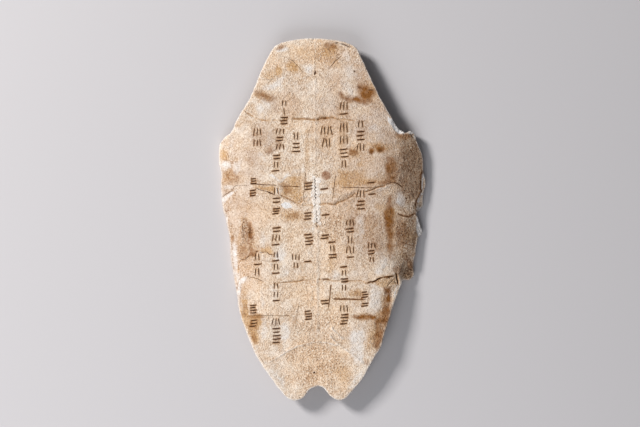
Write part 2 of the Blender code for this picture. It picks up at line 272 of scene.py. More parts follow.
# --- what is cut into the face ---
# Routes and outlines that more than one of the lists below uses
abdominalLeft = ((-25.2, -35.1), (-20.3, -35.2), (-13.3, -34.7), (-10.2, -33.9), (-4, -34))
abdominalMiddle = ((-1.7, -33.4), (1.3, -33.4), (3.9, -33.7))
pectoralWing = ((23.5, 14.7), (26.2, 15.3), (30.2, 17.0), (34.2, 17.9))
fan = (
    (-23.8, 19.2), (-20.6, 22.4), (-15.3, 23.4), (-10.8, 23.6), (-10.6, 16.5), (-11.2, 11.1), (-12.5, 8.8),
    (-13.9, 8.8), (-17.3, 10.7), (-22, 12.9), (-21.8, 16.1),
)
fibrousLens = (
    (-42.7, 0.5), (-40.3, -1.1), (-38.5, -5.3), (-37.6, -9.8), (-38.3, -14), (-40.7, -15.3), (-43.5, -13.1),
    (-44.3, -7.2), (-44.1, -2.2),
)

# The seams left by the horny scutes: their routes, the depth (a ridge if negative) and half width of the
# groove, how far its lips stand up, and how much brown dirt lies in it
seams = {
    "humeral": {
        "routes": (
            ((-42, 58.7), (-39.1, 56.5), (-36.1, 55.1), (-32.5, 54.1), (-26.2, 54.1), (-20.6, 54.1)),
            ((7.8, 54.7), (12.4, 54.4), (17.7, 54)),
        ),
        "depth": 0.34, "halfWidth": 0.55, "lip": 0.2, "dark": 0.62,
    },
    "humeralMiddle": {
        "routes": (
            ((-16.1, 54.8), (-12.3, 54.9), (-9, 54.9), (-5.4, 54.3), (-4, 54.3)),
            ((-2.5, 54.5), (0.1, 55), (2.9, 55.4), (5.5, 55.8), (7, 54.9)),
        ),
        "depth": 0.48, "halfWidth": 0.7, "lip": 0.24, "dark": 0.86,
    },
    "humeralRidge": {
        "routes": (
            ((18.1, 54.5), (25.2, 56.2), (29.8, 57.1), (34.5, 59.5)),
        ),
        "depth": -0.12, "halfWidth": 0.8, "lip": 0, "dark": 0,
    },
    "pectoralFan": {
        "routes": (
            ((-22.6, 12.8), (-19.3, 11.1), (-15.7, 9.3), (-13.7, 8.4), (-12.5, 8.3), (-11.5, 9.3),
             (-11, 11.5)),
        ),
        "depth": 0.38, "halfWidth": 0.6, "lip": 0.24, "dark": 0.7,
    },
    "pectoralRight": {
        "routes": (
            ((7.6, 7.8), (9.4, 9.1), (12.4, 10.4), (15.3, 12), (17.9, 13.7)),
        ),
        "depth": 0.36, "halfWidth": 1.3, "lip": 0.2, "dark": 0.45,
    },
    "pectoralFaint": {
        "routes": (
            ((-1.5, 7.2), (0.5, 7.9), (2.9, 8.3), (4.9, 7.9), (7.6, 7.8)),
            pectoralWing,
            ((-10.4, 7.4), (-8.4, 7.5), (-5.4, 7.2)),
        ),
        "depth": 0.32, "halfWidth": 0.6, "lip": 0.2, "dark": 0.68,
    },
    "pectoralRidge": {
        "routes": (
            ((26.8, 14.7), (30.4, 16.1), (34.7, 17.3), (37.5, 18.4), (40.5, 18.6), (43.2, 17.4),
             (46.6, 14.9), (49.8, 12)),
        ),
        "depth": -0.2, "halfWidth": 0.6, "lip": 0, "dark": 0,
    },
    "abdominal": {
        "routes": (
            abdominalLeft,
            (*abdominalMiddle, (8.4, -34.3), (15.9, -34.4)),
            ((15.9, -34.4), (19.7, -34.3), (24.4, -35.2)),
        ),
        "depth": 0.3, "halfWidth": 0.55, "lip": 0.2, "dark": 0.62,
    },
    "femoral": {
        "routes": (
            ((-28.8, -78.3), (-24.2, -76), (-20.3, -73.7), (-16.3, -71.2), (-13.3, -70), (-10.8, -69.5)),
            ((4.1, -64.1), (6.1, -66.4), (8.2, -68.7), (11, -70.8), (14, -72.8)),
            ((14, -72.8), (17.9, -76), (22.1, -79.1)),
            ((-10.8, -69.5), (-6.4, -68.3), (-2.2, -67.9), (2.5, -68.3), (8, -69.6)),
            ((4.9, -60.1), (7.8, -62.9), (10.8, -65.7)),
        ),
        "depth": -0.42, "halfWidth": 0.9, "lip": 0, "dark": 0,
    },
    "median": {
        "routes": (
            ((-4.7, 97.6), (-4.3, 78.9), (-4, 59), (-3.9, 39.2), (-3.6, 23.4)),
        ),
        "depth": -0.16, "halfWidth": 0.7, "lip": 0, "dark": 0,
    },
    "medianTail": {
        "routes": (
            ((-2.8, -6.3), (-2.8, -30), (-2.9, -61.7)),
        ),
        "depth": -0.14, "halfWidth": 1.1, "lip": -0.08, "dark": 0,
    },
}
seamCut = {
    "wander": 0.35, "kept": 0.85, "wear": 0.55,  # how far noise pushes a seam aside and wears it down
    "lipAt": 1.7, "lipWidth": 0.7, "stainReach": 2.5,  # in half widths of the groove
    "stain": 0.35,
    "tallRidge": 0.3,  # a ridge this tall is at its palest
}

# Edges of layers of the bone's surface: the route with the higher side on its left, the rise, and its reach
ledges = (
    (((-25.6, -19.9), (-29.7, -19.7), (-31.1, -18.3), (-33.1, -18.7), (-34.1, -17.9),
      (-35.3, -18.6)), 0.3, 5),
    (((-35.3, -18.4), (-36.7, -17.1), (-38.7, -15.9), (-40.5, -15.7), (-42.5, -13.6)), -0.32, 3),
    (((-35.1, -19.1), (-37.1, -20.8), (-40.5, -21), (-43.2, -22.8), (-45.4, -24.1), (-46, -30)), 0.34, 7),
    (((-43.2, -31.6), (-45.2, -33.6), (-46.6, -37.4), (-46.3, -43.9)), 0.3, 3),
    (((-38.7, 18.4), (-30.1, 18.4), (-25.6, 18)), -0.16, 1.4),
    (fan[:4], 0.14, 2.4),
    (((23.8, -35.7), (27.2, -35.1), (30.8, -33.4), (33.6, -32.5), (37.6, -31.7), (40.4, -30.2)), 0.4, 4),
    (((41.1, -29.6), (41.8, -32), (41.8, -36.2)), 0.3, 2.4),
    (((33.8, -38.3), (36.4, -35.6), (39.4, -32.8)), 0.2, 1.2),
    (((35.8, -38.9), (38.2, -36.4), (40.4, -34.4)), 0.2, 1.2),
    (((-43.9, 0.3), (-44.8, -5.2), (-46.4, -14.1), (-46.8, -22.1)), 0.24, 2.4),
    (((-38.3, -14), (-37.5, -9.8), (-38.3, -5.3), (-40.1, -1.1)), -0.34, 3),
    (((52.3, 8.8), (54.6, 14.4), (54.9, 19.8), (55.3, 26.8)), 0.4, 2),
    (((-50.6, 8.6), (-52.9, 10.6), (-50, 13), (-46.7, 15.7)), -0.26, 1.6),
    (((30.8, -65.7), (33.8, -57.8), (36.5, -49.8), (38.8, -41.9), (40.6, -37.6)), -0.22, 2.5),
    (((23.9, 65), (29.2, 68.6), (32.2, 74)), 0.12, 6),
    (((-16.7, 5.8), (-18.7, 5.9), (-20.1, 5.4), (-22.4, 7)), -0.22, 1.6),
)
ledgeCut = {"wander": 0.5, "slope": 0.35, "end": 0.6, "dirt": 2.4, "dirtAside": 0.3, "dirtWidth": 0.4}

# The white filling of the median seam, and the toothed groove down its middle
filling = {
    "top": 23.0, "bottom": -6.9, "x": -3.1, "halfWidth": 1.95, "proud": 0.12, "grain": 0.08,
    "edge": 0.6, "foot": 5.0, "ragged": 1.7, "broadRagged": 0.9,
    "depth": 0.5, "tooth": 0.6, "pitch": 1.9, "toothHalfWidth": 0.38, "dirt": 0.75,
}

# Divination cracks: the fork, the top and bottom of the upright crack, the start and end of the branch, and
# how strong it is
cracks = (
    ((-9.9, 17.6), (-9.2, 25.8), (-10.6, 9.3), (-12.0, 17.5), (-18.9, 17.6), 1.0),
    ((6.4, 16.9), (7.3, 24.1), (5.4, 9.2), (9.8, 17.1), (29.0, 16.8), 0.95),
    ((-14.0, -53.4), (-12.5, -45.8), (-14.8, -62.3), (-16.1, -53.5), (-39.4, -53.1), 0.75),
    ((4.0, -44.1), (4.8, -35.7), (2.8, -52.0), (5.6, -44.1), (24.4, -44.6), 1.1),
)
crackCut = {
    "halfWidth": 0.31, "depth": 0.52, "wander": 0.13, "step": 0.6, "fading": 0.4,
    "uprightDirt": 0.84, "branchDirt": 0.9, "breakWander": 0.3,
}

# Breaks, and the seams that are no more than a line: their routes, half width, depth and dirt
breaks = (
    (((40.8, 3.3), (42.7, 2.1), (45.2, 1.4), (47.8, 1.3), (49.7, 2.2), (52.3, 3.1)), 0.28, 0.5, 0.95),
    (((24.2, -35.5), (27.2, -34.9), (29.2, -34.1), (30.8, -33.3), (33.6, -32.4)), 0.5, 0.75, 1),
    (((33, -32.5), (35.6, -32), (39.6, -31.7)), 0.34, 0.5, 1),
    (((40.3, -29.6), (40.9, -31.8), (41.3, -34), (41.5, -36.2)), 0.6, 1.4, 1),
    (((39.4, -31.8), (39.8, -34.2), (41, -37.6)), 0.26, 0.4, 0.8),
    (((35, -38.2), (37.2, -35.8), (39.6, -33.2)), 0.24, 0.35, 0.7),
    (((-55.7, 12.1), (-52.9, 13.8), (-50.2, 15.5), (-48.2, 17.5), (-46.5, 18.2), (-44.1, 18.4),
      (-41.1, 18)), 0.28, 0.36, 0.55),
    (((55, 26.8), (54.6, 22.8), (54.3, 18.4), (54.2, 15.2)), 0.28, 0.7, 0.94),
    (((54.2, 14.8), (53.5, 12.6), (52.2, 10.2), (51.7, 8.2), (51.9, 5.8)), 0.32, 0.7, 0.94),
    (((-43.5, 0.3), (-43.9, -4.2), (-43.3, -9.2), (-42.1, -13.6)), 0.24, 0.24, 0.4),
    (((-35.1, -18.5), (-35.9, -18.1), (-36.7, -17.7)), 0.5, 0.5, 1),
    (((-45.8, -21.7), (-44.2, -22.5), (-42.6, -22.4), (-41.1, -21.1), (-39.3, -20.5)), 0.3, 0.35, 0.8),
    (((-18.5, 17.6), (-21.2, 17.7), (-24.8, 17.9)), 0.28, 0.35, 0.5),
    (((-24.4, 17.9), (-29.2, 18.3), (-34.1, 18.7), (-39.7, 18.8)), 0.34, 0.5, 0.75),
    (((-25.8, -19.8), (-28.8, -19.8), (-30.7, -18.3), (-33.1, -18.7), (-35.3, -18.3)), 0.3, 0.3, 0.75),
    (((-23.7, 90.5), (-21.3, 89.6), (-18.7, 88.9)), 0.3, 0.26, 0.42),
    (((-19.1, 89.1), (-15.9, 86.9), (-13, 83.7), (-10.3, 80.1)), 0.32, 0.3, 0.42),
    (((-18.9, 87.5), (-17.7, 86.5), (-16.5, 85.5)), 0.24, 0.2, 0.36),
    (((11, 89.8), (8.8, 88.3), (6.7, 86.3), (4.9, 84.1), (3.1, 81.7)), 0.36, 0.4, 0.52),
    (((-37.1, 17.5), (-36.1, 16.7), (-34.1, 15.6), (-30.1, 14.8)), 0.3, 0.34, 0.72),
    (((-30.7, 14.9), (-28, 13.8), (-26.5, 13.1)), 0.5, 0.5, 0.9),
    (((34.4, 18.1), (37.3, 19.4), (40.3, 19.6), (42.3, 18.7), (45, 16.6)), 0.36, 0.42, 0.85),
    (((-41.8, -31.9), (-38.7, -32.4), (-36.1, -33.2), (-33.7, -34.3), (-32.3, -35)), 0.3, 0.34, 0.55),
    (abdominalLeft, 0.26, 0.26, 0.42),
    (abdominalMiddle, 0.28, 0.3, 0.5),
    (pectoralWing, 0.28, 0.3, 0.46),
    (((9.8, 9), (12.8, 10), (15.7, 11.7), (18.1, 13.7)), 0.28, 0.26, 0.42),
    (((-33.1, 76.5), (-31.2, 76.9), (-29.2, 76.3), (-26.4, 76.7)), 0.28, 0.24, 0.45),
    (((-35.1, -75), (-33.3, -77.4), (-31.4, -80.1)), 0.28, 0.28, 0.5),
)

# How the dirt in a cut looks: the stain around it reaches so far, and is full from a depth on
cutDirt = {"stainReach": 1.1, "fullDepth": 0.3, "leastHalfWidth": 0.05, "leastDepth": 0.04}

# Inscription: each column's x, then (y of a mark, its rows from the top, how much taller than usual it is).
# A row is u for upright strokes side by side or l for level strokes one under another, and how many.
inscription = (
    (-37.9, ((20.5, "l3", 0.8), (14, "l3", 0.85), (-49.8, "l4", 0.82), (-57.6, "l3", 0.95))),
    (-35.8, ((44.5, "u3 u3", 1.3), (-25.3, "u2 l1 u2", 1.25))),
    (-25.4, ((30.3, "l2 u2 l1", 1), (12.7, "u2 l2", 1.2), (3.9, "l3", 0.85), (-9.9, "l2 u3 l1", 1.1),
        (-24.4, "u2 l1 u2 l1", 1), (-40.5, "u2 u2 l1", 1), (-61.7, "u3 l5", 1.15))),
    (-23.2, ((43.6, "u3 l2 u3", 1),)),
    (-21, ((58.4, "u2 u1 l3", 1),)),
    (-14.5, ((41.9, "u2 l3", 1.3), (-23.6, "u3 u2", 0.95))),
    (-7.8, ((17.7, "l3", 1), (1.2, "l3", 1), (-11.6, "l4", 1.08), (-23.7, "l1", 1), (-53.2, "l4", 0.88))),
    (1.3, ((16.2, "l1", 1), (1.8, "l1", 1), (-10.1, "l2", 1), (-46, "l2", 1))),
    (2.3, ((44.9, "u4 u3", 1.5),)),
    (5.5, ((-17.4, "l1 u2 l2", 1),)),
    (11.9, ((60.6, "u3 l1", 1.35), (46.6, "u3 u3", 1.5), (33.1, "l3 u2", 1.2), (-33, "l1 u2 l2 u2", 0.95),
        (-53, "u3 l4", 1))),
    (15.3, ((-4.3, "u3 l2", 1), (-15.8, "u2 u3 l1", 1.2))),
    (21.1, ((45.5, "u2 l3 u3", 1.3), (10.1, "u3 l3", 1.25))),
    (23.5, ((-41.9, "l3", 0.8), (-47.4, "l2", 0.85))),
    (27.2, ((19.5, "l1", 1), (13.3, "l1", 1), (-18.7, "u3 l2 u2", 0.9))),
)
stroke = {
    "uprightLength": 4.2, "uprightPitch": 1.8, "uprightHalfWidth": 0.35, "uprightDepth": 0.52,
    "levelLength": 5.2, "levelPitch": 1.65, "levelHalfWidth": 0.43, "levelDepth": 0.66,
    "uprightDirt": 0.92, "levelDirt": 1.0, "rowGap": 0.5, "step": 0.5, "seed": 7,
    "lean": math.radians(8), "levelLean": 0.6, "levelShift": 3, "fan": 0.08,
    "shortest": 0.85, "longest": 1.05,  # as shares of the usual length
    "bow": 0.12, "curl": 0.35, "uprightSwelling": 0.12, "levelSwelling": 0.22,
}


def strokesOf(x, y, rows, stretch, luck):
    # one (kind, x, y, length, angle) for each stroke of a mark, row by row from its top
    sizes = []
    for row in rows.split():
        kind, count = row[0], int(row[1:])
        height = stroke["uprightLength"] if kind == "u" else stroke["levelPitch"] * count
        sizes.append((kind, count, height * stretch))
    top = y + (sum(size[2] for size in sizes) + stroke["rowGap"] * (len(sizes) - 1)) / 2
    for kind, count, height in sizes:
        for i in range(count):
            across = i - (count - 1) / 2
            lean = luck.uniform(-stroke["lean"], stroke["lean"])
            trim = luck.uniform(stroke["shortest"], stroke["longest"])
            if kind == "u":
                turn = math.pi / 2 + lean + stroke["fan"] * across
                yield "upright", x + across * stroke["uprightPitch"], top - height / 2, height * trim, turn
            else:
                shift = lean * stroke["levelShift"]
                length = stroke["levelLength"] * trim * min(stretch, 1)
                turn = stroke["levelLean"] * abs(lean)
                yield "level", x + shift, top - (i + 0.5) * height / count, length, turn
        top -= height + stroke["rowGap"]


def strokeCuts():
    # each stroke is a cut along a short line, pointed at both ends; a level one curls up by the square of
    # the way along its right half, and is widest there
    luck = random.Random(stroke["seed"])
    cuts = []
    for x, marks in inscription:
        for y, rows, stretch in marks:
            for kind, sx, sy, length, turn in strokesOf(x, y, rows, stretch, luck):
                t = np.linspace(-1, 1, max(6, round(length / stroke["step"])) + 1)
                bow = stroke["bow"] * swell(np.array([sx]), np.array([sy]), 1.0, 3) * (1 - t * t)
                aside = bow + (kind == "level") * stroke["curl"] * np.maximum(t, 0) ** 2
                along = t * length / 2
                path = np.column_stack([
                    sx + along * math.cos(turn) - aside * math.sin(turn),
                    sy + along * math.sin(turn) + aside * math.cos(turn),
                ])
                swelling = (1 - np.abs(t) ** 3) * (1 + stroke[kind + "Swelling"] * t)
                cuts.append({"path": path, "halfWidth": stroke[kind + "HalfWidth"] * swelling,
                             "depth": stroke[kind + "Depth"] * swelling, "dirt": stroke[kind + "Dirt"]})
    return cuts


def roughCut(route, halfWidth, depth, wander, dirt, fading=0.0):
    # a crack: the smooth route pushed about by noise, thinning to a point at both ends and by its fading
    # towards the far one
    x, y = wandered(*curveThrough(route, crackCut["step"]).T, wander, 2.2, 31, 47)
    t = np.linspace(-1, 1, len(x))
    swelling = (1 - np.abs(t) ** 5) * (0.85 + 0.3 * swell(x, y, 1.7, 53)) * (1 - fading * (t + 1) / 2)
    return {"path": np.column_stack([x, y]), "halfWidth": halfWidth * swelling, "depth": depth * swelling,
            "dirt": dirt}


def crackCuts():
    # the upright and the branch of each divination crack, and then the breaks
    cuts = []
    for fork, top, bottom, start, end, strength in cracks:
        halfWidth, depth = strength * crackCut["halfWidth"], strength * crackCut["depth"]
        for kind, route in (("upright", (top, fork, bottom)), ("branch", (start, end))):
            dirt = strength * crackCut[kind + "Dirt"]
            cuts.append(roughCut(route, halfWidth, depth, crackCut["wander"], dirt, crackCut["fading"]))
    for route, halfWidth, depth, dirt in breaks:
        cuts.append(roughCut(route, halfWidth, depth, crackCut["breakWander"], dirt))
    return cuts


def toothedCut(start, end, tooth):
    # from side to side of a straight line at every half pitch, and widest on one side
    start, end = np.array(start), np.array(end)
    run = end - start
    count = round(float(np.hypot(*run)) / (filling["pitch"] / 2))
    t = np.arange(count + 1) / count
    even = np.arange(count + 1) % 2 == 0
    side = np.where(even, tooth, -tooth) * (0.8 + 0.4 * swell(20 * t, t, 1.3, 95))
    aside = np.array([-run[1], run[0]]) / np.hypot(*run)
    path = start + t[:, None] * run + side[:, None] * aside
    swelling = (1 - np.linspace(-1, 1, count + 1) ** 8) * np.where(even, 1.2, 0.5)
    swelling = swelling * np.clip(0.9 + 0.5 * swell(path[:, 0], path[:, 1], 2.4, 101), 0.4, 1.2)
    return {"path": path, "halfWidth": filling["toothHalfWidth"] * swelling,
            "depth": filling["depth"] * swelling, "dirt": filling["dirt"]}


def fillingCuts():
    # a toothed groove down the filling, in two lengths, and two finer cracks across it
    x, top, bottom, tooth = filling["x"], filling["top"], filling["bottom"], filling["tooth"]
    return [
        toothedCut((x - 1.0, top - 0.4), (x - 0.6, 9.4), tooth),
        toothedCut((x - 0.1, 5.4), (x - 0.1, bottom + 1.6), tooth),
        toothedCut((x - 2.2, top + 1.4), (x + 1.8, top + 0.4), 0.4),
        toothedCut((x + 0.3, 8.6), (x - 2.5, 5.6), 0.3),
    ]


def carve(x, y, cuts):
    # a V across each cut, as deep as the cut is at the nearest place on it; where cuts meet, the deeper
    # counts. Dark dirt fills it, and a stain spreads around it
    depth, dirt, halo = np.zeros(len(x)), np.zeros(len(x)), np.zeros(len(x))
    for one in cuts:
        near = nearTo(x, y, one["path"], 2)
        away, (halfWidth, deep) = awayFromPath(x[near], y[near], one["path"], one["halfWidth"], one["depth"])
        depth[near] = np.maximum(depth[near], deep * np.clip(1 - away / np.maximum(halfWidth, 1e-6), 0, 1))
        soil = np.clip(1 - away / np.maximum(halfWidth, cutDirt["leastHalfWidth"]), 0, 1)
        dirt[near] = np.maximum(dirt[near], one["dirt"] * (soil * (deep > cutDirt["leastDepth"])))
        stain = one["dirt"] * np.exp(-((away / cutDirt["stainReach"]) ** 2))
        halo[near] = np.maximum(halo[near], stain * np.minimum(deep / cutDirt["fullDepth"], 1))
    return depth, dirt, halo


def cutChains(cuts):
    # the lines that keep a cut crisp: its bottom, and its two edges, which meet it at both ends
    chains = []
    for one in cuts:
        path = one["path"]
        run = directionAlong(path)
        halfWidth = np.maximum(one["halfWidth"], cutDirt["leastHalfWidth"])
        aside = np.column_stack([-run[:, 1], run[:, 0]]) * halfWidth[:, None]
        chains.append(path)
        for edge in (path + aside, path - aside):
            edge[0], edge[-1] = path[0], path[-1]
            chains.append(edge)
    return chains


def seamRelief(x, y):
    # across each seam, 1 - (away / half width)^2 squared times its depth, with a lip either side; noise
    # pushes the seam sideways and wears it away in places. Also gives the brown dirt, and the ridges, which
    # are paler the taller they are
    height, dirt, ridge = np.zeros(len(x)), np.zeros(len(x)), np.zeros(len(x))
    wx, wy = wandered(x, y, seamCut["wander"], 2.6, 71, 73)
    worn = np.clip(seamCut["kept"] + seamCut["wear"] * cloud(x, y, 3.0, 83), 0.25, 1.3)
    for one in seams.values():
        away = np.full(len(x), 1e9)
        for route in one["routes"]:
            away = np.minimum(away, awayFromPath(wx, wy, curveThrough(route, 0.8))[0])
        away = away / one["halfWidth"]
        groove = np.clip(1 - away**2, 0, 1) ** 2 * worn
        lip = np.exp(-(((away - seamCut["lipAt"]) / seamCut["lipWidth"]) ** 2))
        height += one["lip"] * lip * worn - one["depth"] * groove
        if one["depth"] > 0:
            stain = seamCut["stain"] * np.exp(-((away / seamCut["stainReach"]) ** 2)) * worn
            dirt = np.maximum(dirt, one["dark"] * np.maximum(groove, stain))
        else:
            ridge = np.maximum(ridge, groove * min(1.0, -one["depth"] / seamCut["tallRidge"]))
    return height, dirt, ridge


def ledgeRelief(x, y):
    # beside each ledge the face stands up by its rise on the left of the route, going up its list of points,
    # and settles back over the reach; a thin line of dirt lies at its foot
    height, dirt = np.zeros(len(x)), np.zeros(len(x))
    wx, wy = wandered(x, y, ledgeCut["wander"], 2.8, 75, 77)
    for route, rise, reach in ledges:
        away, side, _ = besidePath(wx, wy, curveThrough(route, 0.8))
        ending = np.clip(1 - (away - np.abs(side)) / ledgeCut["end"], 0, 1)
        height += rise * smoothStep(side / ledgeCut["slope"] + 0.5) * np.exp(-away / reach) * ending
        foot = np.clip(1 - np.abs(side + ledgeCut["dirtAside"]) / ledgeCut["dirtWidth"], 0, 1)
        dirt = np.maximum(dirt, ledgeCut["dirt"] * rise * foot * ending)
    return height, np.clip(dirt, 0, 1)


def fillingRelief(x, y):
    # the filling stands a little proud between two ragged edges, and thins out at its foot
    ragged = filling["ragged"] * cloud(x, y, 1.7, 91) + filling["broadRagged"] * cloud(x, y, 6.0, 93, 1)
    inside = smoothStep((filling["halfWidth"] + ragged - np.abs(x - filling["x"])) / filling["edge"] + 0.5)
    inside = inside * smoothStep((filling["top"] + ragged - y) / filling["edge"] + 0.5)
    foot = smoothStep((y - filling["bottom"] + 2.0 * ragged) / filling["foot"])
    inside = inside * smoothStep(foot * 2.2 - 0.5 + 0.8 * ragged)
    return (filling["proud"] + filling["grain"] * swell(x, y, 1.0, 99)) * inside, inside


# --- old damage and colour ---
# Spots are soft ovals: (x, y, half width, half length, strength, and its turn in degrees where it has one).
# Patches have corners: (how far their edge fades to either side, strength, corners). The strength of a chip
# or a flake is its depth. The softness of a spot is a share of its size; the ragged numbers say how far
# noise pushes the edges about, as a share of a spot's size and in millimetres for a patch.
pits = (  # x, y, half width, half length, turn in degrees, depth
    (-4.0, 80.3, 0.6, 1.3, -16, 0.45),
    (-4.3, -84.6, 0.55, 0.55, 0, 0.9),
)
chips = {
    "softness": 0.35, "ragged": 0.25, "raggedEdge": 0.5,
    "spots": (
        (-53.3, -0.5, 1, 2.6, 0.8, 10), (-54.3, 11.8, 1.2, 3, 0.35, -50), (-47.7, -32.4, 0.9, 2.4, 0.7, 14),
        (55.4, 3.4, 2.4, 7.5, 1.6), (47.3, -30.5, 4, 4.6, 1.1), (40.9, 50.2, 1.6, 4.6, 0.6, 30),
        (50.2, 46.1, 1.2, 3, 0.5, 40), (-4.8, 98.9, 0.5, 0.6, 0.5),
    ),
}
flakes = {  # where the outer layer has come off in a sheet
    "softness": 0.07, "ragged": 0.22, "raggedEdge": 0.5,
    "spots": (
        (36.8, -34.4, 5, 2.4, 0.22, 22), (16.3, 11.5, 7, 2.4, 0.12, 18), (-40.3, -54.8, 3, 9, 0.14, 12),
        (33.4, -53.8, 3.2, 16, 0.16, -16),
    ),
    "patches": (
        (0.5, 0.2, fibrousLens),
        (0.6, 0.14, fan),
        (0.4, 0.3, ((-40.5, -16.1), (-38.5, -16), (-35.5, -17.9), (-35.3, -18.7), (-37.3, -20.7),
            (-40.5, -20.7))),
        (0.4, 0.16, ((-22.4, 7.8), (-20.6, 8.7), (-18.3, 8.4), (-16.7, 6.6), (-17.1, 5.9), (-20.1, 5.6),
            (-21.8, 6.6))),
    ),
}
porous = {  # broken edges that show the spongy inner bone
    "softness": 0.5, "ragged": 0.3, "raggedEdge": 0.5, "rimSoftness": 0.8,
    "spots": (
        (54.4, 1.9, 2.6, 9, 1), (47.8, -30, 4, 5.6, 1), (54, -9.1, 2, 6, 0.8),
        (43.1, 49.3, 2.4, 6, 0.7, 35), (-53.9, -0.6, 1.4, 3.6, 0.7, 10), (51, 45.5, 1.8, 3.6, 0.7, 40),
        (-48.9, -32, 1.6, 6, 0.5, 8),
    ),
}
coarse = {  # where the surface is rough and granular
    "softness": 0.35, "ragged": 0.3, "raggedEdge": 0.5,
    "spots": (
        (-3.2, -79.5, 15, 14, 0.66), (49.2, 25.6, 7.5, 24, 1.1), (48.3, -10.1, 7.5, 16, 1.3),
        (46.3, -28, 5, 6, 1.1), (4.5, 91.9, 10, 6, 0.4), (33.2, -55.8, 4, 18, 0.5, -17),
        (-50.2, 23.7, 5, 14, 0.5), (-52.3, -12.1, 2.6, 22, 0.6), (7.4, -6.3, 9, 9, 0.5),
        (-0.5, -59.7, 14, 8, 0.5), (27.2, -8.3, 9, 14, 0.3),
    ),
    "patches": ((1, 1, fibrousLens),),
}
